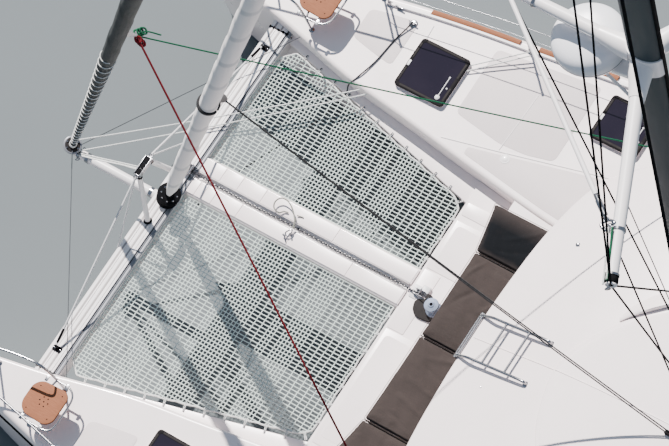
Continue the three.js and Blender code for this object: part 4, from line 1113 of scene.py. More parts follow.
def make_net(side, name):
    path, roped, hooks = net_border(side)
    net = Shape()
    net_cords(net, path, side, 0)
    net_cords(net, path, side, 1)
    net_knots(net, path, side)
    laced = [(x, y, NET_Z) for x, y in net_corners(side)[:3]]
    net.tube(laced, NET_CORD_RADIUS * 1.2, 6)
    net.make(f"net_{name}", NET_CORD(), slot="net", replaces=f"trampoline_{name}", angle=60, facing=False)
    rope_edge, irons, eyes = Shape(), Shape(), Shape()
    rope_edge.tube([(x, y, NET_Z + 0.003 * math.sin(9 * x + 7 * y)) for x, y in roped], 0.0105, 8)
    for place, out, edge in hooks:
        aside = np.array([-out[1], out[0]])
        tucked = side < 0 and edge != 5
        reach = 0.034 if tucked else 0.030 if edge == 5 else 0.058
        # The lashing's loop: out of the border, aside along it and up from the net
        loop = [
            (-0.016, -0.020, 0.010), (0.006, -0.009, 0.012), (reach * 0.7, -0.007, 0.012), (reach, 0, 0.012),
            (reach * 0.7, 0.007, 0.012), (0.006, 0.009, 0.012), (-0.016, 0.020, -0.006),
            (-0.022, 0.006, -0.013), (-0.020, -0.012, -0.008),
        ]
        points = [(*(place + out * o + aside * s), NET_Z + z) for o, s, z in loop]
        rope_edge.bent(points, 0.0052, 6, 3, True)
        foot = np.array((*(place + out * (reach + 0.012)), NET_Z + 0.004))

        def on_foot(u, v, h):
            return tuple(foot + np.array((*(out * u + aside * v), h)))

        irons.plate(box_outline(-0.03, 0.022, -0.014, 0.014, 0.006, 3), 0, 0.006, 0.002, on_foot)
        claw = [(0.012, 0.004), (0.008, 0.020), (-0.010, 0.022), (-0.018, 0.012)]
        # On the tucked starboard hooks, which lie under the ledge, the claw goes into the black piece:
        # painted shade of the same white hook
        (eyes if tucked else irons).bent([on_foot(o, 0, h) for o, h in claw], 0.0048, 8, 4)
    rope_edge.make(f"net_border_{name}", WHITE_ROPE(), slot="net", angle=60)
    irons.make(f"net_hooks_{name}", HOOK_PLASTIC(), slot="white_alloy")
    if eyes.verts:
        eyes.make(f"net_claws_painted_shade_{name}", BLACK_PLASTIC(), slot="black")


# Crossbeam, longeron and bowsprit

BEAM_PROFILE = [
    (5.775, 1.250), (6.000, 1.250), (6.036, 1.263), (6.055, 1.300), (6.060, 1.355), (6.057, 1.400),
    (6.046, 1.432), (6.030, 1.452), (6.012, 1.463), (5.996, 1.468), (5.991, 1.468), (5.967, 1.454),
    (5.964, 1.469), (5.948, 1.470), (5.945, 1.462), (5.938, 1.462), (5.935, 1.470), (5.904, 1.470),
    (5.879, 1.4555), (5.876, 1.469), (5.842, 1.470), (5.839, 1.462), (5.832, 1.462), (5.829, 1.470),
    (5.810, 1.470), (5.807, 1.449), (5.752, 1.446), (5.750, 1.290), (5.757, 1.262),
]
TRACK_PROFILE = [
    (5.742, 1.447), (5.791, 1.449), (5.791, 1.466), (5.784, 1.468), (5.776, 1.461), (5.760, 1.461),
    (5.752, 1.468), (5.744, 1.466),
]


def sweep_across(shape, profile, ys):
    """A beam of one profile, given as x and z, that runs from side to side."""
    return shape.loft([[(x, y, z) for x, z in profile] for y in ys])


def make_crossbeam():
    ends = (-2.55, 0.0, 2.55)
    beam = sweep_across(Shape(), BEAM_PROFILE, ends)
    beam.make("crossbeam_extrusion", ALLOY_WHITE(), slot="white_alloy", replaces="crossbeam", angle=28)
    track = sweep_across(Shape(), TRACK_PROFILE, (-2.42, 2.42))
    track.make("net_track", GREY_ALLOY(), slot="white_alloy", angle=28)
    # Grey strips in the two sloping flutes: painted shade
    bands = Shape()
    for low, high in ((5.966, 5.991), (5.878, 5.904)):
        bands.block((low, -2.55, 1.455), (high, 2.55, 1.4665), 0.002)
    bands.make("beam_bands", FLUTE_SHADE_PAINT(), slot="white_alloy")
    gasket, fittings = Shape(), Shape()
    gasket.block((5.792, -2.42, 1.449), (5.806, 2.42, 1.456), 0.001)
    middle = np.array([5.905, 1.36])
    for side in SIDES.values():
        band = [tuple(middle + (np.array(q) - middle) * 1.03) for q in BEAM_PROFILE]
        sweep_across(gasket, band, (side * 2.362, side * 2.38))
        for x in (5.79, 5.85, 5.915, 5.98, 6.03):
            gasket.block(
                (x - 0.009, side * 2.37 - 0.016, 1.465), (x + 0.009, side * 2.37 + 0.016, 1.478), 0.004,
            )
        # Stay fitting: a plate with an upright lug, pin and fork
        gasket.plate(
            box_outline(5.875, 5.99, side * 2.105 - 0.035, side * 2.105 + 0.035, 0.02), 1.4705, 1.479, 0.003,
        )
        gasket.block((5.925, side * 2.1 - 0.006, 1.478), (5.965, side * 2.1 + 0.006, 1.525), 0.005)
        fittings.rod((5.945, side * 2.1 - 0.02, 1.507), (5.945, side * 2.1 + 0.02, 1.507), 0.008, 10)
        for x in (5.888, 5.977):
            fittings.upright((x, side * 2.105, 1.478), [(0, 0.009), (0.003, 0.009), (0.005, 0.004)], 8)
    gasket.make("beam_fittings", BLACK_PLASTIC(), slot="black")
    fittings.make("beam_pins", STEEL(), slot="steel")


def make_longeron():
    refine("longeron", GELCOAT(), 0.006)
    lids = Shape()
    seams = {
        1: (2.85, 3.55, 4.35, 5.05, 5.40, 5.53, 5.63, 5.745),
        -1: (2.85, 3.9, 4.9, 5.22, 5.46, 5.745),
    }
    for side, xs in seams.items():
        near, far = CHANNEL_HALF + 0.006, LONGERON_HALF - 0.022
        ys = sorted((LONGERON_Y + side * near, LONGERON_Y + side * far))
        for a, b in zip(xs, xs[1:]):
            lids.plate(box_outline(a + 0.004, b - 0.004, *ys, 0.008, 3), 1.4495, 1.456, 0.004)
    lids.make("longeron_lids", GELCOAT(), slot="gelcoat")
    liner = Shape()
    for side in (1, -1):
        y = LONGERON_Y + side * CHANNEL_HALF
        liner.block((2.86, min(y, y - side * 0.004), 1.408), (5.74, max(y, y - side * 0.004), 1.4515), 0.001)
    liner.block((2.86, LONGERON_Y - CHANNEL_HALF, 1.4052), (5.74, LONGERON_Y + CHANNEL_HALF, 1.408), 0.001)
    liner.make("chain_channel_liner", ALLOY_WHITE(), slot="white_alloy")


LINK_WIRE = 0.0055
LINK_LENGTH, LINK_WIDTH, LINK_PITCH = 0.0435, 0.0222, 0.0325


def chain_link(shape, centre, ahead, upright):
    ahead = unit(ahead)
    aside = unit(np.cross((0, 0, 1), ahead)) if abs(ahead[2]) < 0.9 else np.array((0, 1, 0))
    over = np.cross(ahead, aside)
    broad = over if upright else aside
    points = []
    for t in np.linspace(0, 2 * math.pi, 14, endpoint=False):
        reach = np.sign(math.cos(t)) * (LINK_LENGTH / 2 - LINK_WIDTH / 2) + math.cos(t) * LINK_WIDTH / 2
        points.append(centre + ahead * reach + broad * math.sin(t) * LINK_WIDTH / 2)
    shape.tube(points, LINK_WIRE, 6, closed=True)


def make_chain():
    """Links from the bow roller along the channel, over the platform and on to the windlass."""
    low, high = 1.426, 1.462
    route = smooth_path([
        (6.04, LONGERON_Y, 1.30), (6.00, LONGERON_Y, 1.40), (5.93, LONGERON_Y, 1.492),
        (5.80, LONGERON_Y, 1.494),
        (5.66, LONGERON_Y, 1.45), (5.50, LONGERON_Y, low + 0.008), (5.0, LONGERON_Y + 0.006, low),
        (4.4, LONGERON_Y - 0.006, low), (3.7, LONGERON_Y + 0.005, low), (3.1, LONGERON_Y - 0.004, low),
        (2.92, LONGERON_Y, high - 0.008), (2.78, LONGERON_Y + 0.012, high),
        (2.64, LONGERON_Y - 0.004, high + 0.012),
        (2.56, LONGERON_Y + 0.014, high + 0.038),
    ], 24)
    lengths = np.concatenate([[0], np.cumsum(np.linalg.norm(np.diff(route, axis=0), axis=1))])
    chain = Shape()
    for n, s in enumerate(np.arange(0.02, lengths[-1] - 0.01, LINK_PITCH)):
        here = np.array([np.interp(s, lengths, route[:, k]) for k in range(3)])
        there = np.array([np.interp(s + 0.01, lengths, route[:, k]) for k in range(3)])
        chain_link(chain, here, there - here, n % 2)
    chain.make("anchor_chain_links", GALVANISED(), slot="steel", replaces="anchor_chain", angle=60)


def make_bow_roller():
    refine("anchor", GALVANISED(), 0.004)
    cheeks = Shape()
    for side in (1, -1):
        y = LONGERON_Y + side * 0.052
        outline = rounded([
            (5.72, 1.471), (5.84, 1.56), (6.02, 1.545), (6.075, 1.43), (6.06, 1.30), (5.90, 1.471),
        ], 0.03)
        cheeks.plate(outline, -0.004, 0.004, 0.002, upright_at(y))
    cheeks.turned((5.985, LONGERON_Y - 0.05, 1.44), (5.985, LONGERON_Y, 1.44), [
        (0, 0.012), (0, 0.045), (0.012, 0.048), (0.035, 0.030), (0.065, 0.030), (0.088, 0.048),
        (0.1, 0.045), (0.1, 0.012),
    ], 20)
    for x, z in ((5.80, 1.525), (5.985, 1.44)):
        cheeks.rod((x, LONGERON_Y - 0.066, z), (x, LONGERON_Y + 0.066, z), 0.011, 12)
    cheeks.make("bow_roller", STEEL(), slot="steel")


def make_bowsprit():
    sprit = Shape()
    sprit.turned((6.02, 0, SPRIT_Z), (7.22, 0, SPRIT_Z), [
        (0, 0.051), (0.02, 0.055), (1.12, 0.055), (1.17, 0.052), (1.185, 0.046), (1.19, 0.02),
    ], 32)
    sprit.make("bowsprit_tube", ALLOY_WHITE(), slot="white_alloy", replaces="bowsprit", angle=30)
    collars = Shape()
    for x in (6.075, 6.98, 7.10):
        rows = [(0, 0.054), (0, 0.061), (0.045, 0.061), (0.045, 0.054)]
        collars.turned((x, 0, SPRIT_Z), (x + 1, 0, SPRIT_Z), rows, 28)
    for side in (1, -1):
        eye = [(7.12, 0.055), (7.135, 0.085), (7.11, 0.085), (7.10, 0.055)]
        collars.bent([(x, side * y, SPRIT_Z) for x, y in eye], 0.006, 8, 4)
    collars.plate(box_outline(6.95, 7.06, -0.02, 0.02, 0.012), 1.452, 1.486, 0.004)
    collars.make("bowsprit_collars", STEEL(), slot="steel")


def turnbuckle(shape, a, b, length=0.22, radius=0.011):
    """Fork, threaded studs and body at the lower end of a wire from a towards b."""
    rows = [
        (0, 0.9), (0.02, 0.9), (0.022, 0.5), (0.045, 0.5), (0.05, 1), (length * 0.72, 1),
        (length * 0.75, 0.5), (length * 0.9, 0.5), (length * 0.92, 0.8), (length, 0.6),
    ]
    shape.turned(a, b, [(d, radius * share) for d, share in rows], 12)


def make_striker():
    """The tripod over the crossbeam that holds the bowsprit and genoa down."""
    legs = Shape()
    for side in (1, -1):
        legs.rod((5.905, side * 0.33, 1.474), (5.94, side * 0.108, 2.20), 0.032, 24, end=0.030)
    legs.make("striker_legs", ALLOY_WHITE(), slot="white_alloy", replaces="striker", angle=30)
    feet = Shape()
    for side in (1, -1):
        foot, top = (5.905, side * 0.33, 1.4705), (5.94, side * 0.108, 2.20)
        feet.turned(foot, top, [(0, 0.05), (0.008, 0.052), (0.018, 0.044), (0.02, 0.034)], 24)
        feet.turned(
            top, (5.942, side * 0.10, 2.26), [(-0.02, 0.031), (-0.01, 0.034), (0.02, 0.034), (0.04, 0.02)],
            20,
        )
    feet.make("striker_feet", BLACK_PLASTIC(), slot="black")
    # The crown: two bright cheeks along a dark row of sheaves, with a bow shackle at each end
    crown = Shape()
    crown.plate(box_outline(5.898, 5.986, -0.132, 0.132, 0.03), 2.236, 2.246, 0.004)
    for x in (5.898, 5.974):
        crown.block((x, -0.124, 2.243), (x + 0.012, 0.124, 2.292), 0.004)
    sheaves = Shape()
    for y in (-0.079, 0.0, 0.079):
        sheaves.block((5.911, y - 0.038, 2.246), (5.973, y + 0.038, 2.282), 0.006)
    sheaves.make("striker_sheaves", BLACK_PLASTIC(), slot="black")
    for y in (-0.12, -0.04, 0.04, 0.12):
        crown.rod((5.893, y, 2.268), (5.991, y, 2.268), 0.007, 12)
    for side in (1, -1):
        crown.bent(on_side(side, [
            (5.942, 0.12, 2.27), (5.966, 0.155, 2.265), (5.942, 0.178, 2.26), (5.918, 0.155, 2.265),
            (5.942, 0.12, 2.27),
        ]), 0.006, 8, 4)
    crown.make("striker_crown", STEEL(), slot="steel")
    wires, ends = Shape(), Shape()
    for side in (1, -1):
        top, foot = np.array((5.942, side * 0.165, 2.262)), np.array((5.945, side * 2.10, 1.515))
        wires.rod(top, foot, 0.0125, 12)
        turnbuckle(ends, foot, top, 0.30, 0.015)
        wires.rod((5.95, side * 0.14, 2.262), (6.045, side * 0.75, 1.44), 0.009, 10)
    ends.make("striker_turnbuckles", BLACK_PLASTIC(), slot="black")
    wires.make("striker_wires", HOOK_PLASTIC(), slot="steel")
    lashing = Shape()
    for dy, dz in ((0.034, 0.0), (0.046, 0.012), (0.022, 0.014)):
        lashing.bent([
            (7.10, dy, 1.475 + dz), (6.7, dy * 1.2, 1.755 + dz), (6.3, dy, 2.02 + dz),
            (5.985, dy * 1.5, 2.262 + dz),
        ], 0.008, 8, 6)
    lashing.make("sprit_lashing", WHITE_ROPE(), slot="net", angle=60)


# Furled headsails

def along(a, b, distance):
    a, b = np.asarray(a, float), np.asarray(b, float)
    return a + unit(b - a) * distance


def stay_axes(foot, top):
    """Along a stay from foot to top, and two ways across it."""
    axis = unit(np.subtract(top, foot))
    s = unit(np.cross(axis, (0, 1, 0)))
    return axis, s, np.cross(axis, s)


def bolt_places(foot, top, distance, radius, turns):
    """Points on a circle round a stay."""
    _, s, o = stay_axes(foot, top)
    return [along(foot, top, distance) + radius * (math.cos(t) * s + math.sin(t) * o) for t in turns]


def furled_roll(foot, top, start, end, rows, sides, wraps):
    """A sail rolled on its stay: the section steps out where one turn of cloth lies on the next."""
    axis, s, o = stay_axes(foot, top)
    ds = np.arange(start, end, ROLL_STEP)
    radii = np.interp((ds - start) / (end - start), *zip(*rows))
    verts = []
    for d, r in zip(ds, radii):
        c = np.asarray(foot, float) + axis * d
        for k in range(sides):
            turn = 2 * math.pi * k / sides
            phase = (turn / (2 * math.pi) + d * wraps) % 1.0
            bulk = noise.noise((d * 3.1, turn * 0.7, 2.0)) * 0.03
            bulk += noise.noise((d * 14, turn * 1.6, 9.0)) * 0.012
            edge = 0.085 * (1 - min(phase / 0.94, (1 - phase) / 0.06))
            radius = r * (1.0 + bulk - edge)
            verts.append(tuple(c + radius * (math.cos(turn) * s + math.sin(turn) * o)))
    faces, uvs = [], []
    for i, (d0, d1) in enumerate(zip(ds, ds[1:])):
        for k in range(sides):
            m = (k + 1) % sides
            faces.append((i * sides + k, i * sides + m, (i + 1) * sides + m, (i + 1) * sides + k))
            v0, v1 = k * 0.02, (k + 1) * 0.02
            uvs.append(((d0, v0), (d0, v1), (d1, v1), (d1, v0)))
    faces += [tuple(range(sides))[::-1], tuple((len(ds) - 1) * sides + k for k in range(sides))]
    uvs += [None, None]
    return Shape().add(verts, faces, uvs)


def spiral(foot, top, start, end, pitch, radius_at, per_turn=20, growth=0.0):
    """A line wound round a stay; growth is how much longer each turn is than the one below it."""
    axis, s, o = stay_axes(foot, top)
    points = []
    d, n = start, 0
    while d < end:
        turn = 2 * math.pi * n / per_turn
        way = math.cos(turn) * s + math.sin(turn) * o
        points.append(np.asarray(foot, float) + axis * d + radius_at(d) * way)
        d += pitch * (1 + growth * n / per_turn) / per_turn
        n += 1
    return points


GENOA_FOOT, GENOA_TOP = (5.86, 0.0, 1.48), (mast_at(STAY_TOP) + 0.1, 0.0, STAY_TOP)
GENNAKER_FOOT, GENNAKER_TOP = (7.235, 0.0, 1.457), (mast_at(22.5) + 0.06, 0.0, 22.5)
# Distances along their stays at which the clews stand off, and how far the rolls' sections lie apart
CLEW_GENOA, CLEW_GENNAKER = 4.92, 5.55
ROLL_STEP = 0.035


def make_genoa():
    length = np.linalg.norm(np.subtract(GENOA_TOP, GENOA_FOOT))
    top_of_roll = 0.93 * length
    rows = [
        (0.0, 0.034), (0.006, 0.044), (0.016, 0.064), (0.035, 0.080), (0.06, 0.088), (0.24, 0.102),
        (0.40, 0.106), (0.75, 0.085), (0.97, 0.048), (1, 0.02),
    ]
    roll = furled_roll(GENOA_FOOT, GENOA_TOP, 0.285, top_of_roll, rows, 26, 1.05)
    roll.make("genoa_roll", WHITE_SAIL(), slot="white_sail", replaces="genoa_furled", angle=50)
    foil = Shape()
    foil.rod(along(GENOA_FOOT, GENOA_TOP, top_of_roll - 0.05), GENOA_TOP, 0.012, 12)
    foil.rod(along(GENOA_FOOT, GENOA_TOP, 0.24), along(GENOA_FOOT, GENOA_TOP, 0.34), 0.026, 16)
    foil.make("genoa_foil", GREY_ALLOY(), slot="steel")
    drum = Shape()
    drum.turned(GENOA_FOOT, GENOA_TOP, [
        (0, 0.022), (0.02, 0.022), (0.022, 0.105), (0.028, 0.125), (0.046, 0.128), (0.052, 0.120),
        (0.055, 0.088),
        (0.220, 0.088), (0.223, 0.124), (0.230, 0.136), (0.246, 0.136), (0.254, 0.122), (0.256, 0.045),
        (0.286, 0.036),
        (0.29, 0.028),
    ], 40)
    axis = unit(np.subtract(GENOA_TOP, GENOA_FOOT))
    bolts = Shape()
    turns = [math.pi * k / 4 + 0.3 for k in range(8)]
    for spot in bolt_places(GENOA_FOOT, GENOA_TOP, 0.251, 0.09, turns):
        bolts.turned(spot, spot + axis, [(0, 0.010), (0.008, 0.010), (0.012, 0.006)], 10)
    bolts.make("genoa_drum_bolts", STEEL(), slot="steel")
    drum.make("genoa_drum_body", BLACK_PLASTIC(), slot="black", replaces="genoa_drum")
    line = Shape()
    line.tube(spiral(GENOA_FOOT, GENOA_TOP, 0.060, 0.215, 0.011, lambda d: 0.092), 0.0048, 6)
    line.make("genoa_furling_turns", DARK_ROPE(), slot="black", angle=60)
    fitting = Shape()
    outline = rounded([(5.82, 1.4705), (5.91, 1.4705), (5.90, 1.52), (5.84, 1.52)], 0.012)
    for side in (1, -1):
        fitting.plate(outline, -0.004, 0.004, 0.002, upright_at(side * 0.022))
    fitting.rod((5.868, -0.034, 1.50), (5.868, 0.034, 1.50), 0.009, 12)
    fitting.turned(GENOA_FOOT, GENOA_TOP, [(-0.008, 0.008), (-0.006, 0.02), (0.022, 0.02), (0.024, 0.01)], 14)
    fitting.make("genoa_fork", STEEL(), slot="steel")
    tie = Shape()
    tied_at = 4.60
    for d in (tied_at, tied_at + 0.028):
        ring = spiral(GENOA_FOOT, GENOA_TOP, d, d + 0.012, 0.012, lambda q: 0.107, per_turn=28)
        tie.tube(ring, 0.016, 8)
    tie.make("genoa_tie", DARK_ROPE(), slot="black", angle=60)
    shackle = Shape()
    knob = along(GENOA_FOOT, GENOA_TOP, tied_at + 0.02) + np.array((-0.06, -0.115, 0))
    steps = [(0, 0, 0.03), (-0.03, -0.03, 0.02), (-0.04, -0.04, -0.02), (-0.01, -0.02, -0.03)]
    shackle.bent([knob + step for step in steps], 0.009, 8, 5)
    shackle.make("genoa_shackle", STEEL(), slot="steel")
    clew = Shape()
    middle = along(GENOA_FOOT, GENOA_TOP, CLEW_GENOA)
    tip = sheet_corner(clew, middle, axis, (-0.42, -0.3, -0.1), 0.54, 0.11, 0.10)
    clew.make("genoa_clew", SEAT_CLOTH(), slot="white_sail")
    return tip


def sheet_corner(shape, middle, axis, out, height, reach, radius):
    """The clew that stands off the roll: a tapered patch of sailcloth in layers."""
    out = unit(out)
    thick = unit(np.cross(axis, out))
    rows = []
    for t in np.linspace(0, 1, 7):
        half = height * 0.5 * (1 - 0.72 * t)
        c = middle + out * (radius * 0.6 + reach * t) - axis * (height * 0.32 * t)
        depth = 0.016 - 0.007 * t
        one_face = [(1, 0.4), (0.5, 1), (-0.5, 1), (-1, 0.4)]
        section = one_face + [(h, -d) for h, d in one_face[::-1]]
        rows.append([tuple(c + axis * half * h + thick * depth * d) for h, d in section])
    shape.loft(rows)
    return middle + out * (radius * 0.6 + reach) - axis * height * 0.32


def make_gennaker():
    length = np.linalg.norm(np.subtract(GENNAKER_TOP, GENNAKER_FOOT))
    top_of_roll = 0.92 * length
    rows = [
        (0.0, 0.030), (0.02, 0.042), (0.057, 0.051), (0.09, 0.057), (0.135, 0.069), (0.20, 0.088),
        (0.27, 0.097),
        (0.34, 0.106), (0.7, 0.085), (0.97, 0.04), (1, 0.02),
    ]
    roll = furled_roll(GENNAKER_FOOT, GENNAKER_TOP, 0.22, top_of_roll, rows, 24, 0.8)
    roll.make("gennaker_roll", DARK_SAIL(), slot="dark_sail", replaces="gennaker_furled", angle=50)

    def radius_at(d):
        return float(np.interp((d - 0.22) / (top_of_roll - 0.22), *zip(*rows))) + 0.002

    wound = Shape()
    wound.tube(spiral(GENNAKER_FOOT, GENNAKER_TOP, 0.30, 4.6, 0.12, radius_at, growth=0.042), 0.0052, 8)
    wound.tube(spiral(GENNAKER_FOOT, GENNAKER_TOP, 0.19, 0.26, 0.014, lambda d: 0.040), 0.005, 6)
    wound.make("gennaker_spiral", WHITE_ROPE(), slot="net", angle=60)
    luff = Shape()
    luff.rod(along(GENNAKER_FOOT, GENNAKER_TOP, top_of_roll - 0.05), GENNAKER_TOP, 0.010, 10)
    luff.make("gennaker_luff_line", DARK_ROPE(), slot="black", angle=60)
    drum = Shape()
    drum.turned(GENNAKER_FOOT, GENNAKER_TOP, [
        (0, 0.03), (0.006, 0.040), (0.05, 0.044), (0.058, 0.070), (0.066, 0.090), (0.076, 0.092),
        (0.082, 0.062),
        (0.128, 0.060), (0.134, 0.090), (0.142, 0.104), (0.156, 0.104), (0.162, 0.094), (0.165, 0.050),
        (0.195, 0.034),
        (0.21, 0.022),
    ], 36)
    drum.make("gennaker_drum_body", CHARCOAL(), slot="black", replaces="gennaker_drum")
    bright = Shape()
    axis = unit(np.subtract(GENNAKER_TOP, GENNAKER_FOOT))
    turns = [math.pi * k / 3 for k in range(6)]
    for spot in bolt_places(GENNAKER_FOOT, GENNAKER_TOP, 0.160, 0.072, turns):
        bright.turned(spot, spot + axis, [(0, 0.013), (0.006, 0.013), (0.012, 0.008)], 10)
    neck = [(0, 0.046), (0.006, 0.046), (0.03, 0.026), (0.07, 0.02)]
    bright.turned(along(GENNAKER_FOOT, GENNAKER_TOP, 0.163), GENNAKER_TOP, neck, 20)
    rim = Shape()
    rim.turned(along(GENNAKER_FOOT, GENNAKER_TOP, 0.150), GENNAKER_TOP, [
        (-0.006, 0.102), (-0.004, 0.107), (0.008, 0.107), (0.013, 0.100), (0.0135, 0.088), (0.010, 0.087),
    ], 36)
    rim.make("gennaker_drum_rim", GREY_ALLOY(), slot="black")
    bright.rod((7.20, -0.03, 1.455), (7.20, 0.03, 1.455), 0.01, 12)
    bright.make("gennaker_drum_bolts", STEEL(), slot="steel")
    clew = Shape()
    middle = along(GENNAKER_FOOT, GENNAKER_TOP, CLEW_GENNAKER)
    tip = sheet_corner(clew, middle, axis, (-0.62, -0.5, -0.42), 0.30, 0.13, 0.10)
    clew.make("gennaker_clew", WHITE_SAIL(), slot="white_sail")
    return tip


# Platform, windlass and cushions

def make_bridgedeck():
    refine("bridgedeck", GELCOAT(), 0.014)
    lids = Shape()
    for low, high in ((-1.60, -1.435), (-1.36, -0.72), (0.095, 1.60)):
        lids.plate(box_outline(2.345, 2.815, low, high, 0.03), 1.4295, 1.4365, 0.004)
    lids.plate(box_outline(2.60, 2.815, -0.70, 0.08, 0.02), 1.4295, 1.4365, 0.004)
    lids.make("platform_lids", GELCOAT(), slot="gelcoat")
    tread = Shape()
    for low, high in ((-1.31, -0.77), (0.16, 1.50)):
        tread.plate(box_outline(2.40, 2.765, low, high, 0.06, 8), 1.4355, 1.4385, 0.002)
    tread.make("platform_treads", NONSKID(), slot="gelcoat")


def make_windlass():
    axle = (2.43, -0.315)
    drum_foot = 1.5003
    base = Shape()
    outline = rounded([
        (2.32, -0.30), (2.38, -0.42), (2.60, -0.40), (2.705, -0.335), (2.665, -0.215), (2.58, -0.16),
        (2.41, -0.18),
    ], 0.05, 8)
    base.plate(outline, 1.4303, 1.462, 0.01)
    base.upright((*axle, 1.43), [(0.0, 0.100), (0.05, 0.100), (0.062, 0.094), (0.069, 0.07)], 32)
    base.block((2.535, -0.452, 1.43), (2.60, -0.385, 1.50), 0.012)
    base.make("windlass_foot", CHARCOAL(), slot="black", replaces="windlass_base")
    deck_gear = Shape()
    deck_gear.block((2.60, -0.53, 1.4365), (2.70, -0.44, 1.475), 0.014)
    deck_gear.plate(box_outline(2.705, 2.80, -0.50, -0.335, 0.015), 1.4365, 1.444, 0.003)
    deck_gear.make("windlass_block", HOOK_PLASTIC(), slot="white_alloy")
    stopper = Shape()
    for side in (1, -1):
        y = LONGERON_Y + side * 0.032
        stopper.block((2.63, y - 0.005, 1.443), (2.76, y + 0.005, 1.492), 0.004)
    stopper.rod((2.69, LONGERON_Y - 0.05, 1.488), (2.69, LONGERON_Y + 0.05, 1.488), 0.007, 10)
    stopper.rod((2.69, LONGERON_Y + 0.045, 1.488), (2.60, LONGERON_Y + 0.055, 1.505), 0.005, 8)
    stopper.upright((2.50, -0.418, 1.44), [(0, 0.03), (0.022, 0.03), (0.024, 0.012), (0.05, 0.010)], 16)
    stopper.make("chain_stopper", STEEL(), slot="steel")
    drum = Shape()
    drum.upright((*axle, drum_foot), [
        (0, 0.060), (0, 0.088), (0.006, 0.091), (0.018, 0.089), (0.030, 0.074), (0.046, 0.057),
        (0.066, 0.052),
        (0.088, 0.055), (0.108, 0.068), (0.122, 0.080), (0.130, 0.084), (0.144, 0.084), (0.151, 0.079),
        (0.155, 0.058),
        (0.158, 0.036), (0.163, 0.033), (0.166, 0.028), (0.166, 0.020), (0.150, 0.019), (0.150, 0.001),
    ], 40)
    drum.make("windlass_capstan", BRUSHED_STEEL(), "windlass_drum", "steel", "windlass_drum", 30)
    ribs = Shape()
    for k in range(8):
        turn = math.pi * k / 4
        c, s = math.cos(turn), math.sin(turn)
        rows = [(0.034, 0.070), (0.05, 0.0585), (0.068, 0.0545), (0.088, 0.0575), (0.104, 0.066)]
        points = [(axle[0] + r * c, axle[1] + r * s, drum_foot + d) for d, r in rows]
        ribs.bent(points, 0.004, 6, 3)
    ribs.make("windlass_ribs", BRUSHED_STEEL(), "windlass_drum", "steel")
    socket = Shape()
    socket.upright((*axle, 1.645), [(0, 0.0195), (0.015, 0.0195), (0.0165, 0.015), (0.0165, 0.003)], 20)
    socket.make("windlass_socket", BLACK_PLASTIC(), "windlass_drum", "black")


CUSHION_Y = (-1.66, -1.065, 0.05, 1.16, 1.66)
CUSHION_NAMES = ("starboard_outer", "starboard_inner", "port_inner", "port_outer")
BLOWING_FRAMES = 20


def cushion_front(y):
    return 2.33 + max(0.0, abs(y) - 1.1) * 0.2


def blown(made, voxel, pressure, cap):
    """Swells a closed piece by cloth simulation and keeps each point within the cap of where it was."""
    remesh = made.modifiers.new("even", "REMESH")
    remesh.mode = "VOXEL"
    remesh.voxel_size = voxel
    applied(made)
    before = np.array([v.co for v in made.data.vertices])
    cloth_sim = made.modifiers.new("cloth", "CLOTH")
    settings = cloth_sim.settings
    settings.quality = 5
    settings.mass = 0.3
    settings.tension_stiffness = 12
    settings.compression_stiffness = 12
    settings.shear_stiffness = 4
    settings.bending_stiffness = 0.4
    settings.use_pressure = True
    settings.uniform_pressure_force = pressure
    settings.effector_weights.gravity = 0
    scene = bpy.context.scene
    for number in range(1, BLOWING_FRAMES + 1):
        scene.frame_set(number)
    applied(made)
    scene.frame_set(1)
    after = np.array([v.co for v in made.data.vertices])
    step = after - before
    far = np.linalg.norm(step, axis=1)
    keep = np.minimum(1, cap / np.maximum(far, 1e-9))
    made.data.vertices.foreach_set("co", (before + step * keep[:, None]).ravel())
    return made


def wrinkle(made, top, amount, lines, seed):
    """Soft folds on the upper side of a cushion: a few long creases and finer ones across them."""
    co = np.array([v.co for v in made.data.vertices])
    normals = np.array([v.normal for v in made.data.vertices])
    for i, (x, y, z) in enumerate(co):
        if normals[i][2] < 0.2:
            continue
        fold = 0.0
        for (ax, ay), (bx, by), height, width in lines:
            d = np.array((bx - ax, by - ay))
            t = np.clip(((x - ax) * d[0] + (y - ay) * d[1]) / (d @ d), 0, 1)
            bend = 0.025 * math.sin(5 * t + ax * 7)
            away = math.hypot(x - ax - t * d[0] + bend, y - ay - t * d[1]) / width
            fold += 1.8 * height * math.exp(-away * away) * math.sin(math.pi * min(1, t * 1.15 + 0.1))
        ripple = noise.noise((x * 7 + y * 3, y * 2.2 - x * 1.5, seed)) * amount
        ripple += noise.noise((x * 17 + y * 9, y * 6 - x * 4, seed + 5)) * amount * 0.35
        co[i] += normals[i] * (fold + ripple) * min(1, (normals[i][2] - 0.2) * 2)
    co[:, 2] = np.minimum(co[:, 2], top)
    made.data.vertices.foreach_set("co", co.ravel())


# Long creases that show on the cushions: from, to, height and width
CREASES = {
    "starboard_outer": [
        ((1.75, -1.60), (2.25, -1.20), 0.006, 0.03), ((1.8, -1.3), (2.3, -1.1), -0.005, 0.03),
    ],
    "starboard_inner": [
        ((1.66, -0.95), (2.28, -0.98), -0.006, 0.03), ((1.70, -0.80), (2.00, -0.30), 0.010, 0.035),
        ((1.95, -0.38), (1.67, -0.10), 0.012, 0.035), ((2.05, -0.72), (2.30, -0.20), -0.006, 0.030),
        ((1.68, -0.28), (1.92, 0.02), -0.009, 0.028), ((2.15, -1.0), (2.30, -0.55), 0.006, 0.025),
    ],
    "port_inner": [
        ((1.70, 0.12), (2.28, 0.30), 0.007, 0.030), ((1.75, 0.42), (2.25, 0.30), -0.006, 0.028),
        ((1.72, 0.62), (2.30, 0.52), 0.007, 0.030), ((1.80, 0.85), (2.30, 0.72), 0.008, 0.030),
        ((1.85, 1.05), (2.28, 0.92), -0.006, 0.025),
    ],
    "port_outer": [((1.72, 1.25), (2.35, 1.55), 0.006, 0.03), ((1.75, 1.5), (2.3, 1.3), 0.005, 0.03)],
}


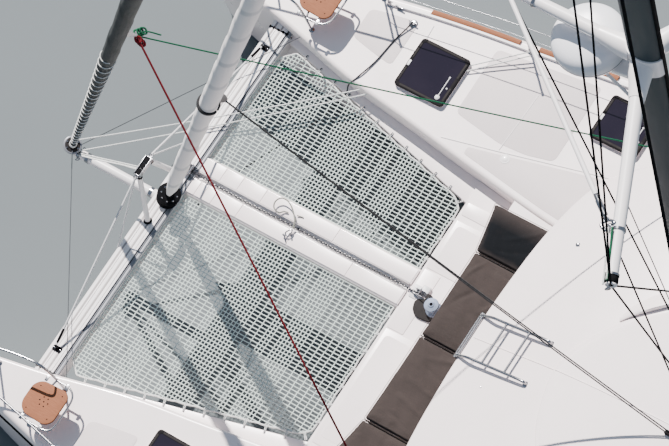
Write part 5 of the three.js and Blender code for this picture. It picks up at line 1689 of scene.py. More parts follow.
def make_cushions():
    for name, low, high in zip(CUSHION_NAMES, CUSHION_Y, CUSHION_Y[1:]):
        gap = 0.0025
        corners = [
            (1.652, low + gap), (cushion_front(low) + 0.002, low + gap),
            (cushion_front(high) + 0.002, high - gap), (1.652, high - gap),
        ]
        if low < 0 < high:
            corners = [corners[0], (2.332, low + gap), (2.332, high - gap), corners[3]]
        outline = rounded(corners, 0.018, 4)
        pad = Shape().slab(outline, [
            (0.010, 1.6215), (0.003, 1.629), (0.0015, 1.672), (0.002, 1.706), (0.007, 1.715),
        ])
        # The outer starboard cushion takes the cover with painted shade on its crown
        cover = PAINTED_SHADE_CLOTH() if name == "starboard_outer" else CUSHION_CLOTH()
        made = pad.make(f"cushion_{name}_cover", cover, slot="cushion_cloth", replaces=f"cushion_{name}")
        blown(made, 0.0135, 3.2, 0.016)
        wrinkle(made, 1.7445, 0.008, CREASES[name], low * 3)
        soften(made.data, 70)
        subdivide = made.modifiers.new("finer", "SUBSURF")
        subdivide.levels = subdivide.render_levels = 1
        seam = Shape()
        for z, inset in ((1.692, 0.0005), (1.640, -0.0005)):
            loop = Shape().slab(outline, [(inset, z)]).verts
            seam.tube(loop, 0.0030, 6, closed=True)
        seam.make(f"cushion_{name}_piping", CUSHION_CLOTH(), slot="cushion_cloth", angle=60)


# Coachroof and saloon

ROOF_LINE = np.array([
    (1.62, 2.395), (1.1, 2.56), (0.5, 2.76), (-0.2, 2.93), (-0.9, 3.03), (-1.7, 3.06), (-2.7, 3.06),
])
ROOF_CROWN = 0.028
ROOF_HALF = [
    (1.57, 0), (1.56, 0.6), (1.51, 1.4), (1.39, 2.0), (1.25, 2.29), (1.04, 2.49), (0.74, 2.68), (0.2, 2.8),
    (-1.2, 2.88), (-2.6, 2.9),
]
ROOF_PATH = smooth_path(ROOF_LINE, 10)
WINCH_X, WINCH_YS = -2.35, (-1.72, -2.02)


def roof_z(x, y):
    return float(np.interp(-x, -ROOF_PATH[:, 0], ROOF_PATH[:, 1])) - ROOF_CROWN * y * y


def on_roof(u, v, h):
    return u, v, roof_z(u, v) + h


def make_roof():
    half = smooth_path(ROOF_HALF, 5)
    outline = [tuple(q) for q in half] + [(x, -y) for x, y in half[::-1][:-1]]
    roof = Shape()
    edge = 0.034
    rows = [(0.12, -0.069), (0.03, -0.069)]
    lower, upper = np.linspace(0.1, math.pi / 2, 5), np.linspace(0.15, math.pi / 2, 7)
    rows += [(edge * (1 - math.sin(t)), -edge - edge * math.cos(t)) for t in lower]
    rows += [(edge * (1 - math.cos(t)), -edge + edge * math.sin(t)) for t in upper]
    roof.slab(outline, rows, on_roof, 26, (-0.6, 0))
    mast_step = [(0, 0.205), (0.055, 0.205), (0.068, 0.200), (0.075, 0.188), (0.075, 0.01)]
    roof.upright((mast_at(3.06), 0, 3.02), mast_step, 40)
    roof.make("roof_shell", GELCOAT(), slot="gelcoat", replaces="coachroof", angle=35)
    panel = Shape()
    arc = smooth_path([
        (-0.60, -1.36), (-0.25, -1.125), (0.025, -0.875), (0.335, -0.438), (0.44, -0.18), (0.458, 0.035),
        (0.40, 0.28), (0.312, 0.536), (0.182, 0.768), (-0.10, 1.08), (-0.60, 1.35),
    ], 5)
    back = [(-2.55, 1.35), (-2.55, -1.36), (-0.60, -1.36)]
    path = np.vstack([arc, *[np.linspace(a, b, 9)[1:] for a, b in zip([arc[-1], *back], back)]])[:-1]
    raised = [(0.0, -0.006), (0.0, 0.008), (0.006, 0.0125), (0.016, 0.014)]
    panel.slab(path, raised, on_roof, 22, (-0.9, 0))
    panel.make("roof_panel", GELCOAT(), slot="gelcoat", angle=60)
    tread = Shape()
    inner = [(0.045, 0.010), (0.047, 0.0155), (0.052, 0.0165)]
    tread.slab(path, inner, on_roof, 22, (-0.9, 0))
    tread.make("roof_nonskid", NONSKID(), slot="gelcoat", angle=60)
    # Ridges along the centreline, and the rim that rises along the panel's starboard side
    crease = Shape()
    for a, b, over in (((1.52, -0.02), (0.46, -0.03), 0.001), ((0.44, -0.03), (-1.20, -0.02), 0.0175)):
        spots = np.linspace(a, b, 16)
        crease.tube([(x, y, roof_z(x, y) + over) for x, y in spots], 0.007, 6)
    rows = []
    line = smooth_path(
        [(0.12, -0.79), (0.025, -0.885), (-0.25, -1.135), (-0.60, -1.375), (-1.30, -1.60), (-2.30, -1.64)],
        8,
    )
    for t, (x, y) in zip(np.linspace(0, 1, len(line)), line):
        height = 0.016 + 0.054 * min(1, t * 3)
        width = 0.05 + 0.15 * min(1, t * 3)
        away = unit((0.7 - 0.6 * t, -1))
        here, z = np.array((x, y)), roof_z(x, y)
        foot = here + away * width
        rows.append([
            (x, y, z - 0.004), (x, y, z + height * 0.85), (*(here + away * 0.012), z + height),
            (*(here + away * width * 0.5), z + height * 0.72), (*foot, roof_z(*foot) - 0.004),
        ])
    crease.loft(rows)
    crease.make("roof_crease", GELCOAT(), slot="gelcoat", angle=50)
    winches = Shape()
    for y in WINCH_YS:
        z = roof_z(WINCH_X, y)
        winches.upright((WINCH_X, y, z), [
            (-0.01, 0.072), (0.012, 0.072), (0.018, 0.060), (0.035, 0.046), (0.075, 0.042), (0.105, 0.048),
            (0.118, 0.066), (0.128, 0.069), (0.134, 0.064), (0.138, 0.040), (0.148, 0.036), (0.150, 0.012),
        ], 32)
    winches.make("roof_winches", STEEL(), slot="steel")
    eyes = Shape()
    eyes.upright((1.11, 0.45, roof_z(1.11, 0.45)), [(-0.004, 0.010), (0.003, 0.010), (0.005, 0.002)], 12)
    for x, y in ((1.08, -1.42), (0.2, 2.2), (0.2, -2.2)):
        z = roof_z(x, y)
        eyes.upright((x, y, z), [(-0.004, 0.026), (0.004, 0.026), (0.007, 0.018), (0.008, 0.004)], 20)
        bow = [(-0.015, 0.004), (-0.013, 0.026), (0.013, 0.026), (0.015, 0.004)]
        eyes.bent([(x + dx, y, z + dz) for dx, dz in bow], 0.0045, 8, 4)
    eyes.make("roof_eyes", STEEL(), slot="steel")


def make_saloon():
    refine("saloon_walls", GELCOAT(), 0.01)
    refine("saloon_glass", TINTED_GLASS(), 0.0)
    refine("saloon_furniture", LAMINATE(), 0.012)
    refine("saloon_door", TINTED_GLASS(), 0.0)


def make_ladder():
    """Steps over the roof's front edge: two bent rails, rungs and a wide front bar."""
    bars = Shape()
    ends = Shape()
    for y in (-0.275, 0.235):
        foot = roof_z(0.66, y)
        over_roof = [(0.72, 0.062), (1.0, 0.075), (1.25, 0.078), (1.42, 0.078)]
        bars.bent([
            (0.655, y, foot + 0.012), (0.672, y, foot + 0.045),
            *[(x, y, roof_z(x, y) + over) for x, over in over_roof],
            (1.54, y, 2.445), (1.59, y, 2.405), (1.605, y, 2.35), (1.60, y, 2.325), (1.575, y, 2.318),
        ], 0.0168, 14)
        flange = [(0, 0.033), (0.006, 0.033), (0.012, 0.018), (0.026, 0.014)]
        ends.upright((0.655, y, foot - 0.002), flange, 22)
        ends.turned(
            (1.592, y, 2.395), (1.592, y + 1, 2.395),
            [(-0.03, 0.012), (-0.03, 0.021), (0.03, 0.021), (0.03, 0.012)], 18,
        )
    for x in (0.93, 1.23):
        bars.rod((x, -0.275, roof_z(x, -0.275) + 0.077), (x, 0.235, roof_z(x, 0.235) + 0.077), 0.0145, 14)
    bars.rod((1.605, -0.30, 2.385), (1.605, 0.26, 2.385), 0.013, 14)
    bars.rod((1.567, -0.30, 2.425), (1.567, 0.26, 2.425), 0.013, 14)
    bars.make("ladder_bars", STEEL(), slot="steel", replaces="ladder", angle=50)
    ends.make("ladder_feet", STEEL(), slot="steel", angle=40)


# Bow seats and pulpits

RAIL_FOOT = [(0, 0.034), (0.006, 0.034), (0.012, 0.018), (0.03, 0.016)]
SEAT_MIDDLE = (5.46, 2.78)
SEAT_TOP = 1.9645


def make_pulpit(side, name):
    rail = Shape()
    rail.bent(on_side(side, [
        (4.95, 3.19, 2.27), (5.5, 3.08, 2.27), (6.35, 2.92, 2.27), (6.66, 2.83, 2.27), (6.735, 2.77, 2.27),
        (6.66, 2.71, 2.27), (6.35, 2.62, 2.27), (5.9, 2.53, 2.27), (5.62, 2.502, 2.26), (5.56, 2.50, 2.21),
        (5.50, 2.495, 1.97), (5.48, 2.49, 1.65),
    ]), 0.014, 14)
    legs = [
        ((4.95, 3.19, 2.27), (4.95, 3.21, 1.65)), ((5.65, 3.05, 2.27), (5.60, 3.02, 1.65)),
        ((6.35, 2.92, 2.27), (6.30, 2.93, 1.65)), ((6.35, 2.62, 2.27), (6.33, 2.60, 1.65)),
    ]
    for leg in legs:
        top, foot = on_side(side, leg)
        rail.rod(top, foot, 0.0135, 14)
        rail.upright(foot, RAIL_FOOT, 20)
    rail.upright((5.48, side * 2.49, 1.65), RAIL_FOOT, 20)
    # The bar that carries the seat, bent round its outline and closed by a straight one
    bar = [(5.62, 3.035), (5.30, 3.045), (5.22, 3.0), (5.20, 2.78), (5.22, 2.58), (5.30, 2.51), (5.49, 2.497)]
    bar = [(x, side * y, 1.925) for x, y in bar]
    rail.bent(bar, 0.012, 12, 6)
    rail.rod(bar[0], bar[-1], 0.012, 12)
    rail.make(f"pulpit_{name}_rails", STEEL(), slot="steel", replaces=f"pulpit_{name}", angle=50)
    seat = Shape()
    corners = [
        (5.61, 2.575), (5.69, 2.66), (5.69, 2.90), (5.61, 2.99), (5.31, 3.005), (5.235, 2.93),
        (5.235, 2.62), (5.30, 2.56),
    ]
    outline = rounded([(x, side * y) for x, y in corners], 0.075, 8)
    seat.plate(
        outline, 1.9373, SEAT_TOP + 0.0005, 0.007, rings=3, centre=(SEAT_MIDDLE[0], side * SEAT_MIDDLE[1]),
    )
    seat.make(f"bow_seat_{name}_boards", TEAK(), slot="teak", replaces=f"bow_seat_{name}")
    holes = Shape()
    for k in range(7):
        turn = 2 * math.pi * k / 6
        reach = 0 if k == 6 else 0.055
        x = SEAT_MIDDLE[0] + reach * math.cos(turn)
        y = side * SEAT_MIDDLE[1] + reach * math.sin(turn)
        holes.upright((x, y, SEAT_TOP), [(0, 0.0085), (0.0012, 0.0085), (0.0012, 0.002)], 12)
    for x, y in ((5.60, 2.64), (5.60, 2.93), (5.31, 2.93), (5.31, 2.63)):
        holes.upright((x, side * y, SEAT_TOP), [(0, 0.007), (0.0014, 0.007), (0.0014, 0.002)], 12)
    holes.make(f"bow_seat_{name}_drains", BLACK_PLASTIC(), slot="black")
    clips = Shape()
    for x, y in ((5.60, 3.034), (5.34, 3.044), (5.60, 2.53), (5.34, 2.508)):
        clips.plate(
            box_outline(x - 0.02, x + 0.02, side * y - 0.035, side * y + 0.035, 0.01), 1.934, 1.938, 0.001,
        )
    clips.make(f"bow_seat_{name}_clips", STEEL(), slot="steel")


# Hatches

def make_hatch(side, name, place):
    x, length, y, width = HATCHES[place]
    overlap = 0.004
    # The fore edge ends over the hinge, so that the lifted lid clears its coaming
    x0, x1 = x - length - overlap, x - 0.012
    ys = across(side, y - overlap, y + width + overlap)
    body = f"hatch_{place}_{name}"
    low, high = HATCH_LOW, HATCH_HIGH
    frame_piece, pane = Shape(), Shape()
    outer = box_outline(x0, x1, *ys, 0.055, 8)
    inner = box_outline(x0 + 0.045, x1 - 0.045, ys[0] + 0.045, ys[1] - 0.045, 0.03, 8)
    # The frame's section: how far each edge lies from the outer outline to the inner one, and its height
    section = [
        (0.85, low), (0.06, low), (0.0, low + 0.008), (0.02, high - 0.008), (0.18, high - 0.002), (0.4, high),
        (0.92, high), (1.0, high - 0.003), (1.0, low + 0.004), (0.85, low),
    ]
    frame_piece.skin([
        [(*(np.array(a) * (1 - share) + np.array(b) * share), z) for a, b in zip(outer, inner)]
        for share, z in section
    ], True)
    frame_piece.make(f"{body}_frame", DARK_ALLOY(), body, "black", body)
    pane.plate(inner, high - 0.014, high - 0.003, 0.001)
    pane.make(f"{body}_pane", SMOKED_GLASS(), body, "smoked_glass", angle=10)
    # Lighter flats along the frame, between dark corners
    flats = Shape()
    middle_x, middle_y = (x0 + x1) / 2, (ys[0] + ys[1]) / 2
    half_x, half_y = (x1 - x0) / 2, (ys[1] - ys[0]) / 2
    for way in (1, -1):
        y_flat, x_flat = middle_y + way * (half_y - 0.027), middle_x + way * (half_x - 0.027)
        strips = [(x0 + 0.075, x1 - 0.075, y_flat - 0.012, y_flat + 0.012)]
        for low_y, high_y in ((ys[0] + 0.07, middle_y - 0.06), (middle_y + 0.08, ys[1] - 0.07)):
            strips.append((x_flat - 0.012, x_flat + 0.012, low_y, high_y))
        for strip in strips:
            flats.plate(box_outline(*strip, 0.006, 3), high - 0.001, high + 0.0015, 0.001)
    flats.make(f"{body}_flats", CHARCOAL(), body, "black")
    trim = Shape()
    inboard = ys[0] if side > 0 else ys[1]
    hinge_y = middle_y - side * 0.02
    hinge = box_outline(x1 - 0.044, x1 - 0.014, hinge_y - 0.036, hinge_y + 0.036, 0.006)
    trim.plate(hinge, high - 0.002, high + 0.004, 0.002)
    knob = (x0 + 0.066, middle_y - side * 0.10, high - 0.004)
    trim.upright(knob, [(0, 0.010), (0.006, 0.010), (0.009, 0.004)], 14)
    trim.make(f"{body}_handles", HOOK_PLASTIC(), body, "white_alloy")
    # Support stay that lies along the aft side, from its knob at the inboard corner
    strut = Shape()
    stay_x, knob_y = x0 + 0.105, inboard + side * 0.085
    strut.rod((stay_x, knob_y, high), (stay_x, knob_y + side * 0.27, high), 0.0062, 12)
    knob = [(0, 0.029), (0.008, 0.029), (0.013, 0.022), (0.014, 0.003)]
    strut.upright((stay_x, knob_y, high - 0.004), knob, 24)
    pin = [(0, 0.011), (0.008, 0.011), (0.012, 0.007), (0.013, 0.002)]
    strut.upright((stay_x, knob_y + side * 0.27, high - 0.004), pin, 16)
    strut.make(f"{body}_stay", HOOK_PLASTIC(), body, "steel")


# Mast, struts, radar dome and boom

def mast_section(z, grow=0.0):
    """The mast's oval section, which tapers over its top."""
    length = np.interp(z, [TAPER_Z, MAST_TOP], [0.30, 0.22])
    width = np.interp(z, [TAPER_Z, MAST_TOP], [0.19, 0.15])
    turns = np.linspace(0, 2 * math.pi, 40, endpoint=False)
    return [
        (mast_at(z) + (length / 2 + grow) * math.cos(t), (width / 2 + grow) * math.sin(t), z) for t in turns
    ]


def make_mast():
    mast = Shape().loft([mast_section(z) for z in [MAST_FOOT, *np.linspace(4, MAST_TOP, 22)]])
    mast.make("mast_tube", MAST_PAINT(), slot="white_alloy", replaces="mast", angle=35)
    track = Shape()
    ends = []
    for z in (4.55, TAPER_Z, 22.6):
        x = mast_at(z) - np.interp(z, [3, TAPER_Z, MAST_TOP], [0.15, 0.15, 0.11])
        ends.append(
            [(x - 0.022, -0.014, z), (x + 0.01, -0.014, z), (x + 0.01, 0.014, z), (x - 0.022, 0.014, z)]
        )
    for low, high in zip(ends, ends[1:]):
        track.loft([low, high])
    track.make("mast_track", BLACK_PLASTIC(), slot="black")
    collar = Shape()
    turns = np.linspace(0, 2 * math.pi, 40, endpoint=False)
    foot = [(mast_at(3.1) + 0.185 * math.cos(t), 0.13 * math.sin(t)) for t in turns]
    collar.plate(foot, MAST_FOOT, 3.125, 0.008)
    winch = [(0, 0.05), (0.01, 0.05), (0.03, 0.038), (0.07, 0.044), (0.085, 0.02)]
    for side in (1, -1):
        for z, x in ((4.9, -1.78), (5.2, -1.82)):
            collar.turned((x, side * 0.09, z), (x, side * 1, z), winch, 20)
    for side in (1, -1):
        for z in (BOOM_Z - 0.105, BOOM_Z + 0.105):
            collar.rod((GOOSENECK_X, side * 0.036, z), (GOOSENECK_X, side * 0.046, z), 0.02, 14)
    collar.make("mast_foot_gear", STEEL(), slot="steel")
    lugs = Shape()
    for z in (BOOM_Z - 0.11, BOOM_Z + 0.11):
        lugs.plate(
            rounded([(-2.05, -0.035), (-1.80, -0.05), (-1.80, 0.05), (-2.05, 0.035)], 0.02), z - 0.01,
            z + 0.01, 0.003,
        )
    lugs.make("gooseneck_lugs", STEEL(), slot="steel")
    head = Shape()
    x = mast_at(MAST_TOP)
    head.rod((x - 0.02, 0.03, MAST_TOP - 0.35), (x + 0.14, 0.03, MAST_TOP - 0.30), 0.02, 12)
    head.make("masthead_crane", STEEL(), slot="steel")


STRUT_TIPS = {"fore": (-0.88, 0.0, 12.49), "port": (-2.92, 1.74, 12.49), "starboard": (-2.92, -1.74, 12.49)}


def strut_root(name):
    side = SIDES.get(name, 0)
    return mast_at(STRUT_Z) + (0.12 if side == 0 else 0), side * 0.07, STRUT_Z


def make_struts():
    arms, caps, bright, grooves = Shape(), Shape(), Shape(), Shape()
    for name, tip in STRUT_TIPS.items():
        start = strut_root(name)
        span = np.linalg.norm(np.subtract(tip, start))
        arms.rod(start, tip, 0.062, 28, 0.046)
        # A fairing flares the tube out where it meets the mast
        arms.turned(start, tip, [(0.0, 0.092), (0.10, 0.092), (0.16, 0.082), (0.30, 0.064), (0.31, 0.05)], 28)
        back = along(tip, start, 0.07)
        caps.turned(
            back, tip, [(0, 0.046), (0, 0.051), (0.02, 0.053), (0.05, 0.052), (0.064, 0.044), (0.07, 0.02)],
            28,
        )
        bright.turned(
            along(tip, start, 0.09), tip, [(0, 0.046), (0, 0.056), (0.018, 0.056), (0.018, 0.046)], 28,
        )
        ring = [(-0.01, 0.02, 0.03), (0.0, 0.05, 0.045), (0.015, 0.045, 0.0), (0.0, 0.02, -0.02)]
        bright.bent([np.add(tip, step) for step in ring], 0.009, 8, 5, True)
        bright.turned(
            along(tip, start, span * 0.25), tip, [(0, 0.048), (0, 0.058), (0.022, 0.058), (0.022, 0.048)],
            24,
        )
        axis = unit(np.subtract(tip, start))
        out = unit(np.cross(axis, (0, 0, 1))) * (1 if name == "port" else -1)
        for turn in (0.25, -0.75):
            way = out * math.cos(turn) - np.cross(out, axis) * math.sin(turn)
            grooves.rod(
                np.add(start, axis * 0.34 + way * 0.060), np.add(tip, way * 0.0465 - axis * 0.1), 0.0035, 6,
            )
    arms.loft([mast_section(z, 0.012) for z in (STRUT_Z - 0.13, STRUT_Z + 0.13)])
    arms.make("strut_tubes", ALLOY_WHITE(), slot="white_alloy", replaces="struts", angle=35)
    caps.make("strut_caps", BLACK_PLASTIC(), slot="black")
    bright.make("strut_rings", STEEL(), slot="steel")
    grooves.make("strut_grooves", GREY_ALLOY(), slot="white_alloy")


# Wires of the rig. Each strut's tip is held to the mast below and above: x off the mast, y and height
DIAMONDS = {
    "fore": [(0.21, 0.13, 3.75), (0.09, -0.17, 3.75)],
    "port": [(-0.02, 0.08, 4.25), (0.0, 0.09, 7.75), (-0.02, 0.08, 17.8), (-0.02, 0.06, 22.6)],
    "starboard": [(-0.02, -0.08, 4.25), (0.0, -0.09, 7.75), (-0.02, -0.08, 17.8), (-0.02, -0.06, 22.6)],
}
STAY_EYE = (-2.655, 1.335, 12.51)


def make_rig():
    wires, screws = Shape(), Shape()
    for name, ends in DIAMONDS.items():
        for dx, y, z in ends:
            end = (mast_at(z) + dx, y, z)
            wires.rod(STRUT_TIPS[name], end, 0.0085, 8)
            turnbuckle(screws, end, STRUT_TIPS[name], 0.32, 0.014)
    wires.make("diamond_wires", BLACK_PLASTIC(), slot="steel")
    screws.make("diamond_screws", GREY_ALLOY(), slot="steel")
    # The covered brace from the fore strut's tip to an eye on the port strut, with its tails to that tip
    brace, ends, tails = Shape(), Shape(), Shape()
    fore, eye = np.array(STRUT_TIPS["fore"]), np.array(STAY_EYE)
    brace.rod(fore, along(eye, fore, 0.27), 0.0195, 14)
    brace.make("strut_brace", ALLOY_WHITE(), slot="white_alloy")
    turnbuckle(ends, along(eye, fore, 0.03), fore, 0.26, 0.025)
    ring = [
        (0.05, 0.03, 0.0), (0.0, 0.055, 0.01), (-0.06, 0.02, 0.0), (-0.05, -0.035, -0.01),
        (0.015, -0.03, 0.0),
    ]
    ends.bent([eye + step for step in ring], 0.012, 10, 5, True)
    for shift in (-0.035, 0.0, 0.035):
        ends.turned(eye + (shift * 0.4, shift, 0.0), eye + (shift * 0.4 - 0.3, shift + 0.12, 0.02), [
            (0, 0.012), (0.01, 0.020), (0.03, 0.020), (0.045, 0.010),
        ], 12)
    ends.make("strut_brace_screw", STEEL(), slot="steel")
    cap = np.array(STRUT_TIPS["port"])
    port_root = np.array(strut_root("port"))
    near_tip = along(cap, port_root, 0.03)
    tails.tube(sagging(eye + (-0.02, 0.03, 0.03), near_tip + (0.03, 0.06, 0.04), 0.01), 0.008, 6)
    tails.tube(sagging(eye + (-0.04, 0.01, 0.03), near_tip + (0.02, 0.02, 0.06), 0.012), 0.008, 6)
    tails.make("strut_tails_white", WHITE_ROPE(), slot="net", angle=60)
    green = sagging(eye + (-0.05, 0.02, 0.04), along(cap, port_root, 0.05) + (0.01, 0.04, 0.06), 0.015)
    line_piece("strut_tail_green", green, 0.0085, GREEN_ROPE(), slot="black")
    # Lazy lines from the struts to the boom's cover
    for name, side in SIDES.items():
        top = along(strut_root(name), STRUT_TIPS[name], 1.10)
        foot = (mast_at(4.6) - 0.16, side * 0.13, 4.60)
        line_piece(f"halyard_{name}", [top, foot], 0.005, GREY_ROPE(), 2, slot="black")


DOME_AT = (-1.61, 0.0, 12.24)


def make_dome():
    x, y, z = DOME_AT
    dome = Shape()
    dome.turned(DOME_AT, (x, y, z + 1), [
        (-0.135, 0.10), (-0.135, 0.215), (-0.127, 0.247), (-0.108, 0.276), (-0.075, 0.291), (-0.045, 0.299),
        (0.020, 0.300), (0.040, 0.296), (0.062, 0.284), (0.085, 0.262), (0.100, 0.238), (0.112, 0.205),
        (0.122, 0.165), (0.129, 0.11), (0.133, 0.05), (0.135, 0.004),
    ], 72)
    dome.make("radar_dome_shell", DOME_PLASTIC(), slot="gelcoat", replaces="radar_dome", angle=30)
    bracket = Shape()
    low = z - 0.137
    inner = mast_at(z) + 0.13
    bracket.plate(rounded([
        (x + 0.15, -0.07), (x - 0.1, -0.12), (inner, -0.07), (inner, 0.07), (x - 0.1, 0.12), (x + 0.15, 0.07),
    ], 0.03), low - 0.035, low, 0.006)
    for side in (1, -1):
        bracket.tube(
            [(x + 0.02, side * 0.06, low - 0.02), (mast_at(11.5) + 0.14, side * 0.05, 11.55)], 0.014, 12,
        )
    bracket.make("radar_bracket", ALLOY_WHITE(), slot="white_alloy")
    band = Shape()
    band.upright((x, y, z - 0.05), [(0, 0.297), (0, 0.2995), (0.005, 0.3005), (0.005, 0.297)], 72)
    band.make("radar_seam", DARK_ALLOY(), slot="black")


def make_boom():
    boom = Shape()
    half = [
        (0.0, -0.11), (0.070, -0.11), (0.090, -0.06), (0.095, 0.0), (0.088, 0.06), (0.070, 0.11),
        (0.0, 0.11),
    ]
    ring = half + [(-y, z) for y, z in half[::-1][1:-1]]
    scales = [(-2.13, 0.93), (-2.15, 1.0), (-5.0, 1.0), (-7.12, 0.98), (-7.15, 0.9)]
    boom.loft([[(x, y * k, BOOM_Z + z * k) for y, z in ring] for x, k in scales])
    boom.make("boom_tube", MAST_PAINT(), "boom", "white_alloy", "boom", 30)
    metal = Shape()
    metal.rod((GOOSENECK_X, 0, 4.25), (GOOSENECK_X, 0, 4.45), 0.024, 16)
    square = [(-1, -1), (1, -1), (1, 1), (-1, 1)]
    sizes = [(-1.985, 0.018, 0.04), (-2.05, 0.03, 0.085), (-2.15, 0.06, 0.09)]
    metal.loft([[(x, u * w, BOOM_Z + v * h) for u, v in square] for x, w, h in sizes])
    for x in (-3.6, -5.4, -6.9):
        metal.bent([(x, -0.05, 4.246), (x, -0.03, 4.20), (x, 0.03, 4.20), (x, 0.05, 4.246)], 0.008, 8, 4)
    metal.turned((-7.13, 0, BOOM_Z), (-8, 0, BOOM_Z), [(0, 0.08), (0.012, 0.08), (0.02, 0.06)], 20)
    metal.make("boom_fittings", STEEL(), "boom", "steel")


def make_sail_bag():
    """Stacked mainsail inside its zipped cover, which sags between the lazy lines."""
    stations = np.linspace(-2.3, -7.0, 48)
    rows = []
    for x in stations:
        height = float(np.interp(-x, [2.3, 3.2, 5.2, 7.0], [0.43, 0.40, 0.30, 0.21]))
        sag = 0.012 * math.cos((x + 2.3) * 2 * math.pi / 1.15)
        row = []
        for t in np.linspace(0, 2 * math.pi, 28, endpoint=False):
            c, s = math.cos(t), math.sin(t)
            y = 0.178 * np.sign(s) * abs(s) ** 0.75
            z = 4.4635 + height * (0.5 - 0.5 * np.sign(c) * abs(c) ** (0.85 if c > 0 else 1.0))
            y *= 1 - 0.25 * max(0, (z - 4.4603) / height - 0.55)
            pleat = noise.noise((x * 3.0, s * 2 + c, 1.0)) * 0.014
            pleat += noise.noise((x * 9, s * 3 + c * 2, 7.0)) * 0.006
            y = y * (1 + pleat * 4) + pleat * 0.3
            z += pleat * 0.7 + (sag if z > 4.5 else 0)
            row.append((x, y, max(4.4605, z)))
        rows.append(row)
    bag = Shape().loft(rows)
    made = bag.make("sail_bag", BAG_CLOTH(), "boom", "white_sail", "sail_stack", 60)
    zipper = Shape()
    ridge = [max(row, key=lambda q: q[2]) for row in rows]
    zipper.tube([(x, 0, z + 0.002) for x, _, z in ridge], 0.009, 8)
    for x in np.linspace(-2.6, -6.8, 8):
        row = rows[int(np.argmin(abs(stations - x)))]
        zipper.tube([(q[0], q[1] * 1.02, q[2]) for q in row if q[2] > 4.47], 0.006, 6)
    zipper.make("sail_bag_zip", DARK_ROPE(), "boom", "black", angle=60)


def make_shroud(side, name):
    wire, ends = Shape(), Shape()
    low = (-4.65, side * 3.74, 1.74)
    high = (mast_at(STAY_TOP), side * 0.075, STAY_TOP)
    wire.rod(along(low, high, 0.3), high, 0.013, 12)
    wire.make(f"shroud_{name}_wire", BLACK_PLASTIC(), slot="steel", replaces=f"shroud_{name}")
    turnbuckle(ends, low, high, 0.46, 0.019)
    outline = rounded([
        (-4.72, 1.645), (-4.58, 1.645), (-4.605, 1.74), (-4.65, 1.765), (-4.695, 1.74),
    ], 0.02)
    ends.plate(outline, -0.006, 0.006, 0.002, upright_at(side * 3.74))
    ends.rod((-4.65, side * 3.715, 1.735), (-4.65, side * 3.765, 1.735), 0.01, 12)
    ends.make(f"shroud_{name}_screw", STEEL(), slot="steel")


LOW_WIRE, HIGH_WIRE = 1.98, 2.275
STANCHIONS = (4.85, 3.10, 1.10, -1.00, -3.10, -5.30)


def deck_edge(x):
    return station(x)[4]


def toe_line(x):
    """How far off the centreline the stanchions and the toe rail stand."""
    return deck_edge(x) - 0.13


def bar_along(shape, line, section):
    """A bar along a line, with a section of steps across and up."""
    return shape.loft([[(x, y + dy, z + dz) for dy, dz in section] for x, y, z in line])


def make_lifelines(side, name):
    posts, wires, toe = Shape(), Shape(), Shape()
    for x in STANCHIONS:
        y = side * toe_line(x)
        posts.rod((x, y, 1.65), (x, y, 2.285), 0.0125, 14)
        socket = [(0, 0.038), (0.006, 0.038), (0.012, 0.024), (0.07, 0.019), (0.075, 0.013)]
        posts.upright((x, y, 1.65), socket, 20)
        for z in (LOW_WIRE, HIGH_WIRE):
            posts.upright((x, y, z - 0.012), [(0, 0.012), (0, 0.017), (0.024, 0.017), (0.024, 0.012)], 12)
    for z, r in ((HIGH_WIRE, 0.0052), (LOW_WIRE, 0.0042)):
        points = []
        held = [(4.95, 3.20, z)] + [(x, toe_line(x), z) for x in STANCHIONS]
        for a, b in zip(held, held[1:]):
            span = abs(b[0] - a[0])
            for t in np.linspace(0, 1, 8, endpoint=False):
                c = [a[k] + (b[k] - a[k]) * t for k in range(3)]
                points.append((c[0], side * c[1], c[2] - 0.012 * span * t * (1 - t)))
        points.append((held[-1][0], side * held[-1][1], z))
        wires.tube(points, r, 8)
    posts.make(f"stanchions_{name}", STEEL(), slot="steel", replaces=f"lifelines_{name}", angle=50)
    wires.make(f"guard_wires_{name}", STEEL(), slot="steel", angle=60)
    rail = [(x, side * toe_line(x), 1.667) for x in np.linspace(4.85, -5.3, 50)]
    bar_along(toe, rail, [
        (-0.016, -0.018), (0.016, -0.018), (0.016, 0.010), (0.011, 0.0165), (-0.011, 0.0165), (-0.016, 0.010),
    ])
    toe.make(f"toe_rail_{name}", ALLOY_WHITE(), slot="white_alloy", angle=50)
    strips = Shape()
    for a, b in ((4.36, 3.26), (3.02, 2.05), (1.9, 0.3), (0.1, -1.9), (-2.1, -4.0)):
        count = max(3, int((a - b) / 0.2))
        path = [(x, side * (deck_edge(x) - 0.078), 1.66) for x in np.linspace(a, b, count)]
        bar_along(strips, path, [
            (-0.032, -0.02), (0.032, -0.02), (0.032, 0.009), (0.026, 0.016), (-0.026, 0.016), (-0.032, 0.009),
        ])
    strips.make(f"toe_strips_{name}", TEAK(), slot="teak", angle=50)


# Cockpit, helm and hardtop

def make_hardtop():
    refine("hardtop", GELCOAT(), 0.012, 32)
    panel = Shape()
    panel.plate(box_outline(-5.55, -2.9, -2.35, 2.35, 0.15, 8), HARDTOP_Z, HARDTOP_Z + 0.006, 0.004)
    for x in (-3.75, -4.65):
        for ys in ((-2.2, -0.15), (0.15, 2.2)):
            outline = box_outline(x - 0.42, x + 0.42, *ys, 0.02)
            panel.plate(outline, HARDTOP_Z + 0.006, HARDTOP_Z + 0.016, 0.003)
    panel.make("hardtop_panels", NONSKID(), slot="gelcoat")


